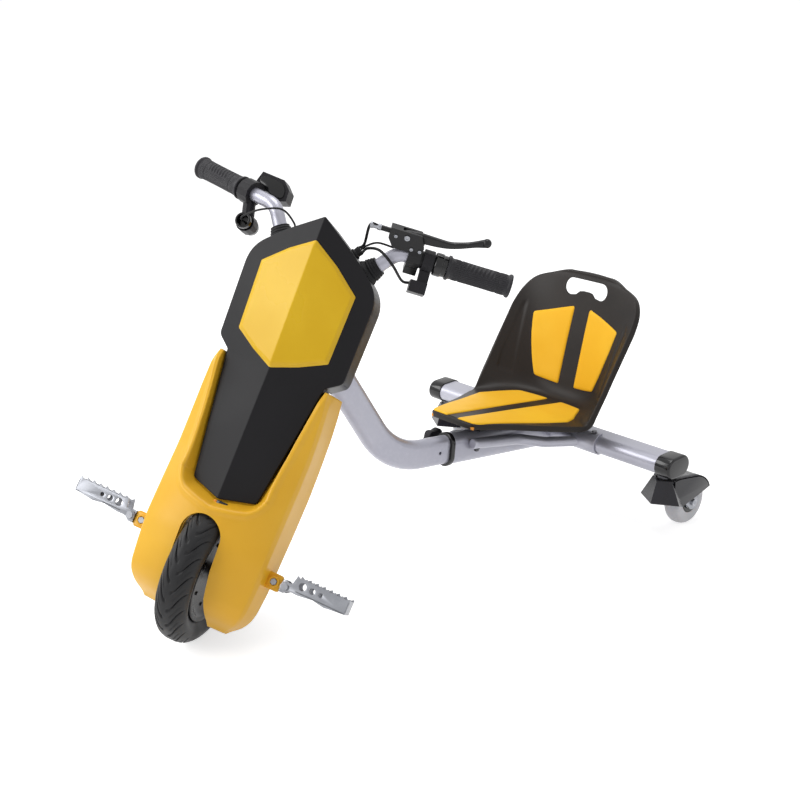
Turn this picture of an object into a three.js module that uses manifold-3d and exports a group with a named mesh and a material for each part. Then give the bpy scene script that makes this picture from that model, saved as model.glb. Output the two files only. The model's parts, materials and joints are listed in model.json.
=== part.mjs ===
// A three-wheeled drift scooter for a child: a hub-motor front wheel inside a moulded shroud, a faceted
// fairing, a telescopic frame with a bucket seat, and two small trailing casters under the rear beam.
// Millimetres, +Z up, the front points along -Y and the rider's left is +X. The front end is shown
// steered to the left.
import * as THREE from 'three';
import { mergeVertices } from 'three/addons/utils/BufferGeometryUtils.js';
import Module from 'manifold-3d';

const wasm = await Module();
wasm.setup();

// General fits
const seam = 0.3;          // gap between two pieces that touch
const overrun = 30;        // how far a cutting tool runs past what it cuts
const weld = 0.0001;       // vertices closer than this are one
const roundSides = 12;     // facets round a middle-sized tube

// Rear frame
const beam = { length: 604, depth: 57, height: 34, wall: 2, centreHeight: 134 };
const cap = { sleeve: 32, wall: 2, floor: 3, crown: 4, crownInset: 3 };
const tube = { width: 34, height: 57, wall: 2, front: 276, slope: 8.67, heightAtBeam: 124.3 };
const collar = { length: 10, wall: 2.2, nose: 5 };
const brace = {
  diameter: 19.5, start: 236, startHeight: 172, straightEnd: 118, straightEndHeight: 146,
  elbowReach: 52, elbowBack: 74, elbowHeight: 134, reach: 90, end: 24, endHeight: 132,
};
const saddle = { start: 80, width: 54, sheet: 3, lap: 22, boltRadius: 5, boltLength: 6 };
const knob = { back: 262, radius: 25, lobes: 6, lobeDepth: 4, thickness: 16, shank: 21, screw: 4, sides: 30 };

// Casters
const caster = {
  inset: 30.8, trail: 60, radius: 44.7, width: 32, shoulder: 9, hubRadius: 21, hubDish: 3, bore: 4.3,
  plateTop: 103.7, plate: 3.2, forkInner: 18.1, forkSheet: 2.8, forkFront: 15, forkBack: 13, eyeRadius: 14,
  axle: 4, spacer: 7.5, nut: 7, nutHeight: 5, nutSides: 6,
};
const casterOut = beam.length / 2 - caster.inset;   // from the middle to each swivel axis
const king = { bolt: 4.7, washer: 13.5, washerHeight: 10.2, head: 8.5, headHeight: 6, nut: 8, nutHeight: 5.6 };
const fender = {
  wall: 2.4, halfWidth: 24, topRadius: 22, top: 106.5, bottomBack: 26, bottomHeight: 48,
  sideReach: 43, sideFront: 12, prow: 38, rimHeight: 67, mouth: 15.2,
  frontTop: 84, crestBack: 61, crest: 96, tail: 105, tailHeight: 63, underBack: 72, underHeight: 56,
};

// Seat
const seat = {
  halfWidth: 144.5, panFront: 260, panFrontHeight: 222.6, depth: 369, rise: 405, sheet: 4, rim: 12,
  padHeight: 4, padSunk: 1.4, padCrown: 2.4, holeHalfWidth: 49, holeHeight: 374, holeRadius: 13, holeRise: 9,
};
const perch = { width: 104, startShare: 0.1355, lengthShare: 0.4065, sheet: 3, drop: 1.2 };

// Telescopic neck
const neck = { width: 29.4, height: 52.4, wall: 2, insertion: 108, bendRadius: 152, upperAngle: 59.5, join: 400 };
const pinHole = { radius: 3, first: 304, pitch: 42, count: 4 };
const headTube = { radius: 20, wall: 3, bottom: 345, length: 110 };
const headset = { radius: 22.5, height: 11.4, bore: 13.4 };

// Steering axis and front wheel
const steer = { rake: 35.4, turn: 29.7, base: 800 };
const wheel = {
  radius: 125, halfWidth: 27, offset: 16.1, bead: 84.6, beadHalf: 17, grooves: 20, grooveDepth: 2.2,
  shoulderDrop: 7.5, rim: 84.2, sides: 20, rimHalf: 21, discHalf: 15, axle: 6, axleReach: 56, nut: 12, nutHeight: 8,
};
const fork = {
  steerer: 12.7, steererWall: 2.5, top: 492, crownTop: 151, crownThickness: 14, crownHalf: 47, crownFront: 15,
  crownBack: 32, legInner: 34, legThickness: 12, legDepth: 28, legEnd: 20, race: 18, raceHeight: 7,
};

// Handlebar, in the steering frame: p to the left, q up the axis, m forward
const bar = {
  radius: 11, forward: 73, height: 473, flat: 46, riseOut: 77.4, riseUp: 513, riseForward: 77.8,
  kneeOut: 105.6, kneeUp: 551.4, kneeForward: 81.8, endOut: 266, endUp: 575.5, endForward: 24.7, bend: 30,
};
const clamp = { halfWidth: 22, radius: 21, lower: 16, upper: 15, ear: 16 };
const grip = { length: 101, radius: 16, flange: 19, flangeWidth: 4, cap: 5, ribDepth: 0.8, ribs: 3 };
const gland = { radius: 18, neck: 14.5, length: 17 };

// Fairing
const fairing = {
  wall: 3, ridgeTop: 147, ridgeTopAt: 551, ridgeMid: 99, ridgeMidAt: 316, ridgeLow: 73, ridgeLowAt: 115,
  fall: 0.31, shoulder: 109, shoulderAt: 477, jaw: 107, jawAt: 337, neckHalf: 84, neckAt: 320,
  tipHalf: 55, tipAt: 121, backAtJaw: 35, backSlope: 0.156, backJawAt: 356, backHalfSlot: 30, backSlotTop: 500,
};
const badge = {
  proud: 4.6, bevel: 6, top: 515.6, bottom: 316.1, upperHalf: 81, lowerHalf: 78.1,
  upperShare: 0.7333, lowerShare: 0.197, upperBendShare: 0.57, lowerBendShare: 0.44,
  tipInsetShare: 1.3, sideInsetShare: 0.5,
};

// Shroud
const shroud = {
  wall: 3, halfWidth: 102, backHalf: 109, backForward: -10, top: 316, bottom: -80,
  archTop: 78.5, archHalf: 34, archFlare: 60, archShoulder: 20,
  pocketRidge: 65, pocketLean: 0.02, pocketFall: 0.24, pocketGap: 1.5, pocketSlope: 0.5, pocketMouth: 115, ledge: 9,
  earReach: 130, earLow: 12, earHigh: 38, earForward: 17, earThickness: 6, bossRadius: 9,
};

// Footpegs
const peg = {
  pivot: 138, pivotHeight: 25, forward: 9, halfDepth: 13, sheet: 2.2, start: 147, end: 240, low: 21, high: 46,
  teeth: 7, toothDepth: 3.4, pin: 3.2, fork: 8,
};

// Small solid helpers

function asSolid(geometry) {
  const bare = geometry.clone();
  for (const name of Object.keys(bare.attributes)) {
    if (name !== 'position') bare.deleteAttribute(name);
  }
  const merged = mergeVertices(bare, weld);
  const vertProperties = new Float32Array(merged.attributes.position.array);
  const triVerts = new Uint32Array(merged.index.array);
  return new wasm.Manifold(new wasm.Mesh({ numProp: 3, vertProperties, triVerts }));
}

function asGeometry(body) {
  const mesh = body.getMesh();
  const geometry = new THREE.BufferGeometry();
  geometry.setAttribute('position', new THREE.BufferAttribute(new Float32Array(mesh.vertProperties), 3));
  geometry.setIndex(Array.from(mesh.triVerts));
  geometry.computeVertexNormals();
  return geometry;
}

function join(...geometries) {
  return asGeometry(geometries.map(asSolid).reduce((a, b) => a.add(b)));
}

function cut(geometry, ...tools) {
  return asGeometry(tools.map(asSolid).reduce((a, b) => a.subtract(b), asSolid(geometry)));
}

function common(...geometries) {
  return asGeometry(geometries.map(asSolid).reduce((a, b) => a.intersect(b)));
}

function volumeOf(points, faces) {
  let sum = 0;
  for (const [a, b, c] of faces) sum += points[a].dot(new THREE.Vector3().crossVectors(points[b], points[c]));
  return sum / 6;
}

// Builds a closed geometry from points and triangles and turns it outside out where its volume is negative.
function polyhedron(points, faces) {
  const outward = volumeOf(points, faces) < 0 ? faces.map(([a, b, c]) => [a, c, b]) : faces;
  const geometry = new THREE.BufferGeometry();
  geometry.setAttribute('position', new THREE.Float32BufferAttribute(points.flatMap((v) => v.toArray()), 3));
  geometry.setIndex(outward.flat());
  geometry.computeVertexNormals();
  return geometry;
}

// Joins rings of equal point count into one closed solid, with both ends closed by a fan.
function loft(rings) {
  const n = rings[0].length;
  const points = rings.flat();
  const faces = [];
  for (let r = 0; r + 1 < rings.length; r += 1) {
    for (let i = 0; i < n; i += 1) {
      const j = (i + 1) % n;
      faces.push([r * n + i, r * n + j, (r + 1) * n + j], [r * n + i, (r + 1) * n + j, (r + 1) * n + i]);
    }
  }
  for (const [ring, flip] of [[rings[0], true], [rings[rings.length - 1], false]]) {
    const start = flip ? 0 : (rings.length - 1) * n;
    const middle = ring.reduce((a, b) => a.clone().add(b)).divideScalar(n);
    const centre = points.push(middle) - 1;
    for (let i = 0; i < n; i += 1) {
      const j = (i + 1) % n;
      faces.push(flip ? [start + j, start + i, centre] : [start + i, start + j, centre]);
    }
  }
  return polyhedron(points, faces);
}

// Closes the space between two grids of points with the same rows and columns.
function slab(upper, lower) {
  const rows = upper.length;
  const cols = upper[0].length;
  const points = [...upper.flat(), ...lower.flat()];
  const at = (side, r, c) => side * rows * cols + r * cols + c;
  const faces = [];
  const quad = (a, b, c, d) => faces.push([a, b, c], [a, c, d]);
  for (let r = 0; r + 1 < rows; r += 1) {
    for (let c = 0; c + 1 < cols; c += 1) {
      quad(at(0, r, c), at(0, r, c + 1), at(0, r + 1, c + 1), at(0, r + 1, c));
      quad(at(1, r, c), at(1, r + 1, c), at(1, r + 1, c + 1), at(1, r, c + 1));
    }
    quad(at(0, r, 0), at(0, r + 1, 0), at(1, r + 1, 0), at(1, r, 0));
    quad(at(0, r, cols - 1), at(1, r, cols - 1), at(1, r + 1, cols - 1), at(0, r + 1, cols - 1));
  }
  for (let c = 0; c + 1 < cols; c += 1) {
    quad(at(0, 0, c), at(1, 0, c), at(1, 0, c + 1), at(0, 0, c + 1));
    quad(at(0, rows - 1, c), at(0, rows - 1, c + 1), at(1, rows - 1, c + 1), at(1, rows - 1, c));
  }
  return polyhedron(points, faces);
}

// Extrudes an outline of [x, y] points along +Z.
function prism(outline, depth, holes = []) {
  const shape = new THREE.Shape(outline.map(([x, y]) => new THREE.Vector2(x, y)));
  for (const hole of holes) shape.holes.push(new THREE.Path(hole.map(([x, y]) => new THREE.Vector2(x, y))));
  return new THREE.ExtrudeGeometry(shape, { depth, bevelEnabled: false, steps: 1 });
}

// Turns a closed or axis-to-axis profile of [radius, height] points about Z.
function revolve(profile, sides = roundSides) {
  const lathe = new THREE.LatheGeometry(profile.map(([r, z]) => new THREE.Vector2(r, z)), sides);
  return polyhedron(...trianglesOf(lathe.rotateX(Math.PI / 2)));
}

function trianglesOf(geometry) {
  const bare = geometry.clone();
  for (const name of Object.keys(bare.attributes)) {
    if (name !== 'position') bare.deleteAttribute(name);
  }
  const merged = mergeVertices(bare, weld);
  const array = merged.attributes.position.array;
  const points = [];
  for (let i = 0; i < array.length; i += 3) points.push(new THREE.Vector3().fromArray(array, i));
  const faces = [];
  const index = merged.index.array;
  for (let i = 0; i < index.length; i += 3) {
    const [a, b, c] = [index[i], index[i + 1], index[i + 2]];
    if (a !== b && b !== c && a !== c) faces.push([a, b, c]);
  }
  return [points, faces];
}

function rod(radius, length, sides = roundSides) {
  return revolve([[0, 0], [radius, 0], [radius, length], [0, length]], sides);
}

function ringTube(radius, bore, length, sides = roundSides) {
  return revolve([[bore, 0], [radius, 0], [radius, length], [bore, length], [bore, 0]], sides);
}

// The radius of a faceted bore that clears a round piece by the seam all round.
function bored(radius) {
  return (radius + seam) / Math.cos(Math.PI / roundSides);
}

function moved(geometry, x, y, z) {
  return geometry.clone().translate(x, y, z);
}

// Places a geometry built along +Z so that its origin is at a point, its Z along one direction and its
// X near another.
function seated(geometry, origin, zAxis, xAxis) {
  const z = zAxis.clone().normalize();
  const y = new THREE.Vector3().crossVectors(z, xAxis).normalize();
  const x = new THREE.Vector3().crossVectors(y, z);
  const matrix = new THREE.Matrix4().makeBasis(x, y, z).setPosition(origin);
  return geometry.clone().applyMatrix4(matrix);
}

function mirrorX(geometry) {
  const [points, faces] = trianglesOf(geometry);
  return polyhedron(points.map((v) => new THREE.Vector3(-v.x, v.y, v.z)), faces);
}

function box(x0, x1, y0, y1, z0, z1) {
  const geometry = new THREE.BoxGeometry(x1 - x0, y1 - y0, z1 - z0);
  return geometry.translate((x0 + x1) / 2, (y0 + y1) / 2, (z0 + z1) / 2);
}

const vec = (x, y, z) => new THREE.Vector3(x, y, z);
const AX = vec(1, 0, 0);
const AY = vec(0, 1, 0);
const AZ = vec(0, 0, 1);

// A flat-sided oval as [x, y] points: straight sides and half-round ends across its longer way.
function oval(width, height, steps = 6) {
  const radius = Math.min(width, height) / 2;
  const run = Math.abs(width - height) / 2;
  const lying = width > height;
  const points = [];
  for (let end = 0; end < 2; end += 1) {
    for (let i = 0; i <= steps; i += 1) {
      const angle = Math.PI * (end + i / steps) + (lying ? -Math.PI / 2 : 0);
      const shift = end ? -run : run;
      const x = radius * Math.cos(angle) + (lying ? shift : 0);
      const y = radius * Math.sin(angle) + (lying ? 0 : shift);
      points.push([x, y]);
    }
  }
  return points;
}

// A round section swept along a curve.
function pipe(curve, radius, sides, steps) {
  const section = [];
  for (let i = 0; i < sides; i += 1) {
    const angle = (2 * Math.PI * i) / sides;
    section.push(new THREE.Vector2(radius * Math.cos(angle), radius * Math.sin(angle)));
  }
  const settings = { steps, extrudePath: curve, bevelEnabled: false };
  return new THREE.ExtrudeGeometry(new THREE.Shape(section), settings);
}

// A path through straight runs whose corners are rounded.
function rounded(points, radius) {
  const path = new THREE.CurvePath();
  let from = points[0];
  for (let i = 1; i + 1 < points.length; i += 1) {
    const before = points[i - 1].clone().sub(points[i]).normalize();
    const after = points[i + 1].clone().sub(points[i]).normalize();
    const half = before.angleTo(after) / 2;
    const reach = Math.min(radius / Math.tan(half), points[i].distanceTo(points[i + 1]) / 2);
    const start = points[i].clone().addScaledVector(before, reach);
    const end = points[i].clone().addScaledVector(after, reach);
    path.add(new THREE.LineCurve3(from, start));
    path.add(new THREE.QuadraticBezierCurve3(start, points[i], end));
    from = end;
  }
  path.add(new THREE.LineCurve3(from, points[points.length - 1]));
  return path;
}

function paint(color, roughness, metalness) {
  return new THREE.MeshStandardMaterial({ color, roughness, metalness });
}

const finish = {
  silver: paint(0xb9b9c4, 0.42, 0.3),
  black: paint(0x222125, 0.5, 0),
  gloss: paint(0x0c0b0e, 0.2, 0),
  yellow: paint(0xf0b93f, 0.45, 0),
  lemon: paint(0xe8c22b, 0.42, 0),
  orange: paint(0xffb52e, 0.7, 0),
  violet: paint(0x45434e, 0.45, 0),
  rubber: paint(0x1b1b1d, 0.85, 0),
  steel: paint(0xc4c6ca, 0.35, 0.9),
  resin: paint(0xd9cfd2, 0.35, 0),
};

const trike = new THREE.Group();
const column = new THREE.Group();
const front = new THREE.Group();
trike.add(column);
column.add(front);

function piece(name, geometry, material, parent = trike) {
  const mesh = new THREE.Mesh(geometry, material);
  mesh.name = name;
  parent.add(mesh);
  return mesh;
}

const radians = THREE.MathUtils.degToRad;
const bySide = [['left', 1], ['right', -1]];

// Adds a piece made for the left side and its mirror image for the right.
function pair(name, geometry, material, parent = trike) {
  piece(`${name}_left`, geometry, material, parent);
  piece(`${name}_right`, mirrorX(geometry), material, parent);
}

// Front tyre, wheel and axle: built about Z, then laid along the wheel's axle

// The tyre's section as shares of its half width and of the depth from tread to bead, from the middle
// of the tread to the bead.
const tyreSectionShares = [
  [0, 0], [0.3, 0.02], [0.62, 0.11], [0.9, 0.31], [0.97, 0.62], [0.64, 1],
];
const treadPoints = 4;

function tyreGeometry() {
  const depth = wheel.radius - wheel.bead;
  const steps = wheel.grooves * 4;
  const half = tyreSectionShares.length;
  const rings = [];
  for (let s = 0; s < steps; s += 1) {
    const ring = [];
    for (let i = 0; i < 2 * half - 1; i += 1) {
      const side = i - (half - 1);
      const [across, down] = tyreSectionShares[Math.abs(side)];
      const inTread = Math.abs(side) < treadPoints && side !== 0;
      const grooved = inTread && (s + Math.abs(side)) % 4 === 0;
      const radius = wheel.radius - down * depth - (grooved ? wheel.grooveDepth : 0);
      const angle = (2 * Math.PI * s) / steps;
      const z = Math.sign(side) * across * wheel.halfWidth;
      ring.push(vec(radius * Math.cos(angle), radius * Math.sin(angle), z));
    }
    rings.push(ring);
  }
  return closedLoop(rings);
}

// Joins rings into a loop that closes on itself.
function closedLoop(rings) {
  const n = rings[0].length;
  const faces = [];
  for (let r = 0; r < rings.length; r += 1) {
    const next = (r + 1) % rings.length;
    for (let i = 0; i < n; i += 1) {
      const j = (i + 1) % n;
      faces.push([r * n + i, r * n + j, next * n + j], [r * n + i, next * n + j, next * n + i]);
    }
  }
  return polyhedron(rings.flat(), faces);
}

const wheelCentre = vec(0, wheel.offset, 0);
const tyre = seated(tyreGeometry(), wheelCentre, AX, AZ);

// The steering frame stands at the height where the tyre meets the floor.
column.rotation.x = -radians(steer.rake);
front.rotation.z = radians(steer.turn);
column.position.y = -steer.base;
column.updateMatrixWorld(true);
const tyreBox = new THREE.Box3().setFromBufferAttribute(
  tyre.clone().applyMatrix4(front.matrixWorld).attributes.position,
);
column.position.z = -tyreBox.min.z;
column.updateMatrixWorld(true);

piece('front_tyre', tyre, finish.rubber, front);

function hubGeometry() {
  const w = wheel;
  const bore = w.axle + seam;
  const profile = [
    [bore, -w.discHalf - w.shoulderDrop], [w.nut, -w.discHalf - w.shoulderDrop], [w.nut * 2, -w.discHalf],
    [w.rim - w.nut, -w.discHalf], [w.rim - w.nut / 2, -w.rimHalf], [w.rim, -w.rimHalf],
    [w.rim, w.rimHalf], [w.rim - w.nut / 2, w.rimHalf], [w.rim - w.nut, w.discHalf],
    [w.nut * 2, w.discHalf], [w.nut, w.discHalf + w.shoulderDrop], [bore, w.discHalf + w.shoulderDrop],
    [bore, -w.discHalf - w.shoulderDrop],
  ];
  return revolve(profile, wheel.sides);
}

piece('hub_motor', seated(hubGeometry(), wheelCentre, AX, AZ), finish.black, front);

function axleGeometry() {
  const legOuter = fork.legInner + fork.legThickness;
  const rodPart = moved(rod(wheel.axle, wheel.axleReach * 2, 8), 0, 0, -wheel.axleReach);
  const nut = rod(wheel.nut, wheel.nutHeight, 6);
  const parts = [rodPart, moved(nut, 0, 0, legOuter + seam), moved(nut, 0, 0, -legOuter - seam - wheel.nutHeight)];
  const collarLength = fork.legInner - seam - (wheel.discHalf + wheel.shoulderDrop + seam);
  const spacer = rod(wheel.axle * 1.5, collarLength, 8);
  parts.push(moved(spacer, 0, 0, wheel.discHalf + wheel.shoulderDrop + seam));
  parts.push(moved(spacer, 0, 0, -wheel.discHalf - wheel.shoulderDrop - seam - collarLength));
  return join(...parts);
}

piece('front_axle', seated(axleGeometry(), wheelCentre, AX, AZ), finish.steel, front);

// Fork: steerer, crown and two legs in one weldment

function forkGeometry() {
  const steerer = moved(rod(fork.steerer, fork.top - fork.crownTop, roundSides), 0, 0, fork.crownTop - seam);
  const crown = box(-fork.crownHalf, fork.crownHalf, -fork.crownFront, fork.crownBack, fork.crownTop - fork.crownThickness, fork.crownTop);
  const raceTop = headTube.bottom - headset.height - 2 * seam;
  const race = moved(rod(fork.race, fork.raceHeight), 0, 0, raceTop - fork.raceHeight);
  const parts = [steerer, crown, race];
  const legLength = fork.crownTop - fork.crownThickness / 2 + fork.legEnd;
  for (const [, side] of bySide) {
    const centre = side * (fork.legInner + fork.legThickness / 2);
    const leg = prism(oval(fork.legThickness, fork.legDepth, 4), legLength);
    parts.push(moved(leg, centre, wheel.offset, -fork.legEnd));
  }
  const hole = seated(rod(wheel.axle + seam, fork.crownHalf * 4, 12), vec(-fork.crownHalf * 2, wheel.offset, 0), AX, AZ);
  const bore = moved(rod(fork.steerer - fork.steererWall, fork.top * 2, 12), 0, 0, fork.crownTop + overrun);
  return cut(join(...parts), hole, bore);
}

piece('fork', forkGeometry(), finish.black, front);

// Head tube and its bearings stand in the steering column's frame and don't turn

piece('head_tube', moved(ringTube(headTube.radius, headTube.radius - headTube.wall, headTube.length, 16), 0, 0, headTube.bottom), finish.silver, column);
const headTop = headTube.bottom + headTube.length;
piece('headset_upper', moved(ringTube(headset.radius, headset.bore, headset.height), 0, 0, headTop + seam), finish.gloss, column);
piece('headset_lower', moved(ringTube(headset.radius, headset.bore, headset.height), 0, 0, headTube.bottom - seam - headset.height), finish.gloss, column);

// Rear frame

const slope = radians(tube.slope);
const tubeBack = vec(0, Math.cos(slope), -Math.sin(slope));
const tubeUp = vec(0, Math.sin(slope), Math.cos(slope));
const tubeOrigin = vec(0, 0, tube.heightAtBeam);

// The point on the main tube's centre line at a distance y in front of the beam's axis.
function onTube(forward) {
  return tubeOrigin.clone().addScaledVector(tubeBack, -forward / Math.cos(slope));
}

function hollowOval(width, height, wall, length) {
  const outer = prism(oval(width, height), length);
  const inner = moved(prism(oval(width - 2 * wall, height - 2 * wall), length + 2 * overrun), 0, 0, -overrun);
  return cut(outer, inner);
}

// Builds a prism whose section's first way is X and second way is up, and lays it along a direction.
function alongY(geometry, origin, direction) {
  return seated(geometry, origin, direction, AX);
}

function beamSolid(grow, length) {
  return seated(prism(oval(beam.depth + 2 * grow, beam.height + 2 * grow), length), vec(-length / 2, 0, beam.centreHeight), AX, AY);
}

function kingHole() {
  const hole = moved(rod(king.bolt + seam, beam.centreHeight - caster.plateTop, 14), casterOut, 0, caster.plateTop);
  return [hole, mirrorX(hole)];
}

function rearBeam() {
  const length = beam.length - 2 * (cap.floor + seam);
  const shell = cut(beamSolid(0, length), beamSolid(-beam.wall, length + 2 * overrun));
  return cut(shell, ...kingHole());
}

function beamCap() {
  const grow = cap.wall + seam;
  const ring = (x, inset) => oval(beam.depth + 2 * (grow - inset), beam.height + 2 * (grow - inset))
    .map(([y, z]) => vec(x, y, beam.centreHeight + z));
  const end = beam.length / 2;
  const outer = loft([ring(end - cap.sleeve, 0), ring(end - cap.crown, 0), ring(end, cap.crownInset)]);
  const pocket = beamSolid(seam, beam.length - 2 * cap.floor);
  return cut(outer, pocket, ...kingHole());
}

function mainTube() {
  const from = onTube(tube.front);
  const length = (tube.front + beam.depth / 2) / Math.cos(slope);
  const body = alongY(hollowOval(tube.width, tube.height, tube.wall, length), from, tubeBack);
  const knobHole = seated(rod(knob.screw + seam, tube.width, 12), onTube(knob.back).setX(-tube.width), AX, AZ);
  return cut(body, beamSolid(seam, beam.depth * 2), knobHole);
}

piece('rear_beam', rearBeam(), finish.silver);
pair('beam_cap', beamCap(), finish.gloss);
piece('main_tube', mainTube(), finish.silver);

function tubeCollar() {
  const grow = 2 * (collar.wall + seam);
  const outer = prism(oval(tube.width + grow, tube.height + grow), collar.length);
  const overTube = moved(prism(oval(tube.width + 2 * seam, tube.height + 2 * seam), overrun), 0, 0, collar.nose);
  const overNeck = moved(prism(oval(neck.width + 2 * seam, neck.height + 2 * seam), overrun * 2), 0, 0, -overrun);
  const from = onTube(tube.front).addScaledVector(tubeBack, -collar.nose - seam);
  return alongY(cut(outer, overTube, overNeck), from, tubeBack);
}

piece('tube_collar', tubeCollar(), finish.gloss);

// Side braces: a bent round tube with the saddle that wraps the beam's front

function braceGeometry() {
  const x = tube.width / 2 + seam + brace.diameter / 2;
  const path = rounded([
    vec(x, -brace.start, brace.startHeight),
    vec(x, -brace.straightEnd, brace.straightEndHeight),
    vec(brace.elbowReach, -brace.elbowBack, brace.elbowHeight),
    vec(brace.reach, -brace.end, brace.endHeight),
  ], brace.diameter * 2);
  const pipePart = pipe(path, brace.diameter / 2, 10, 13);
  const wrap = 2 * (saddle.sheet + seam);
  const profile = oval(beam.depth + wrap, beam.height + wrap);
  const saddlePart = seated(prism(profile, saddle.width), vec(saddle.start, 0, beam.centreHeight), AX, AY);
  const rear = box(0, beam.length, saddle.lap - beam.depth / 2, beam.depth, 0, beam.centreHeight * 2);
  const bolt = seated(rod(saddle.boltRadius, saddle.boltLength, 6), vec(x, -brace.start + saddle.boltRadius * 2, brace.startHeight - brace.diameter / 2 - saddle.boltLength / 2), AZ, AX);
  return cut(join(pipePart, saddlePart, bolt), rear, beamSolid(seam, beam.length * 2));
}

pair('brace', braceGeometry(), finish.silver);

// Seat: one curved surface, given by a middle line and an edge line from the pan's front to the top.
// Each row is [middle back, middle height, edge out, edge back, edge height] as shares of the seat's
// depth, rise and half width.
const seatRowShares = [
  [0, 0, 0.366, 0.008, -0.008],
  [0.02, -0.004, 0.39, 0.03, -0.012],
  [0.16, -0.05, 0.56, 0.17, -0.06],
  [0.33, -0.105, 0.755, 0.333, -0.13],
  [0.48, -0.155, 0.94, 0.48, -0.185],
  [0.6, -0.197, 0.985, 0.537, -0.19],
  [0.72, -0.238, 0.985, 0.57, -0.11],
  [0.78, -0.242, 0.986, 0.607, -0.01],
  [0.815, -0.18, 0.988, 0.645, 0.09],
  [0.838, -0.04, 0.99, 0.69, 0.215],
  [0.87, 0.18, 0.996, 0.745, 0.365],
  [0.905, 0.41, 1, 0.8, 0.51],
  [0.94, 0.625, 1, 0.848, 0.633],
  [0.968, 0.8, 0.955, 0.905, 0.77],
  [0.988, 0.925, 0.83, 0.95, 0.88],
  [0.998, 0.98, 0.56, 0.985, 0.955],
  [1, 1, 0.34, 0.998, 1],
];
const seatBlend = 2.6;

const seatCurves = [0, 1, 2, 3, 4].map((k) => seatRowShares.map((row) => row[k]));

// A smooth value along a column of shares at a place between rows.
function alongRows(values, place) {
  const i = Math.min(Math.floor(place), values.length - 2);
  const t = place - i;
  const a = values[Math.max(i - 1, 0)];
  const b = values[i];
  const c = values[i + 1];
  const d = values[Math.min(i + 2, values.length - 1)];
  const slopeB = (c - a) / 2;
  const slopeC = (d - b) / 2;
  const h = t * t * (3 - 2 * t);
  return b + (c - b) * h + slopeB * t * (1 - t) * (1 - t) - slopeC * t * t * (1 - t);
}

const seatHeight = seat.rise - seat.panFrontHeight;

function seatPoint(place, x) {
  const [back, up, out, edgeBack, edgeUp] = seatCurves.map((curve) => alongRows(curve, place));
  const share = Math.min(Math.abs(x) / (out * seat.halfWidth), 1) ** seatBlend;
  const y = -seat.panFront + seat.depth * (back + (edgeBack - back) * share);
  const z = seat.panFrontHeight + seatHeight * (up + (edgeUp - up) * share);
  return vec(x, y, z);
}

function seatHalfWidth(place) {
  return alongRows(seatCurves[2], place) * seat.halfWidth;
}

const probe = 0.5;

// The seat surface's unit normal, on the rider's side.
function seatNormal(place, x) {
  const last = seatRowShares.length - 1;
  const low = Math.max(place - 0.05, 0);
  const high = Math.min(place + 0.05, last);
  const half = seatHalfWidth(place);
  const inside = Math.sign(x) * Math.min(Math.abs(x), half - probe * 2);
  const alongWay = seatPoint(high, inside).sub(seatPoint(low, inside));
  const across = seatPoint(place, inside + probe).sub(seatPoint(place, inside - probe));
  return across.cross(alongWay).normalize();
}

const seatColumnShares = [0, 0.4, 0.7, 0.88, 0.97, 1];

function seatShell() {
  const columns = [...seatColumnShares.slice(1).reverse().map((s) => -s), ...seatColumnShares];
  const places = [0, 1, 2.4, 3.6, 4.4, 5, 5.7, 6.4, 7.2, 8, 9, 10, 11, 12, 13, 14, 15, 16];
  const upper = [];
  const lower = [];
  for (const place of places) {
    const atEnd = place === 0 || place === seatRowShares.length - 1;
    const half = seatHalfWidth(place);
    const thick = (c) => (atEnd || Math.abs(c) === 1 ? seat.rim : seat.sheet);
    upper.push(columns.map((c) => seatPoint(place, c * half)));
    lower.push(columns.map((c) => seatPoint(place, c * half).addScaledVector(seatNormal(place, c * half), -thick(c))));
  }
  return slab(upper, lower);
}

// A pad as two grids over the seat surface: outline gives the inner and outer x at each place.
function padSolid(outline, side, sunk, proud, grow) {
  const upper = [];
  const lower = [];
  const cols = 4;
  const rows = outline.length - 1;
  outline.forEach(([placeIn, xIn, placeOut, xOut], r) => {
    const upRow = [];
    const downRow = [];
    for (let c = 0; c <= cols; c += 1) {
      const t = c / cols;
      const growPlace = (r === 0 ? -1 : r === rows ? 1 : 0) * grow * 0.05;
      const place = placeIn + (placeOut - placeIn) * t + growPlace;
      const x = side * (xIn - grow + (xOut - xIn + 2 * grow) * t);
      const crownC = 1 - (2 * t - 1) ** 4;
      const crownR = 1 - ((2 * r) / rows - 1) ** 6;
      const height = proud + (grow > 0 ? seat.padHeight : seat.padCrown * crownC * crownR);
      const normal = seatNormal(place, x);
      upRow.push(seatPoint(place, x).addScaledVector(normal, height));
      downRow.push(seatPoint(place, x).addScaledVector(normal, -sunk));
    }
    upper.push(upRow);
    lower.push(downRow);
  });
  return slab(upper, lower);
}

// Pad outlines: [place inside, x inside, place outside, x outside] from front to back, x as shares of
// the seat's half width.
const panPadShares = [
  [0.55, 0.088, 0.5, 0.33], [1.5, 0.09, 1.5, 0.44], [2.5, 0.093, 2.5, 0.57], [3.5, 0.097, 3.4, 0.7],
  [4.3, 0.1, 4.1, 0.775], [5, 0.103, 4.9, 0.72], [5.6, 0.106, 5.5, 0.62], [6.25, 0.11, 6.1, 0.52],
];
const backPadShares = [
  [8.45, 0.131, 8.45, 0.5], [9, 0.13, 9, 0.545], [9.6, 0.129, 9.5, 0.59], [10.2, 0.128, 10, 0.63],
  [10.8, 0.127, 10.5, 0.665], [11.4, 0.125, 11, 0.69], [12.25, 0.123, 11.55, 0.712],
];

function padOutline(shares) {
  return shares.map(([a, b, c, d]) => [a, b * seat.halfWidth, c, d * seat.halfWidth]);
}

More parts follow.
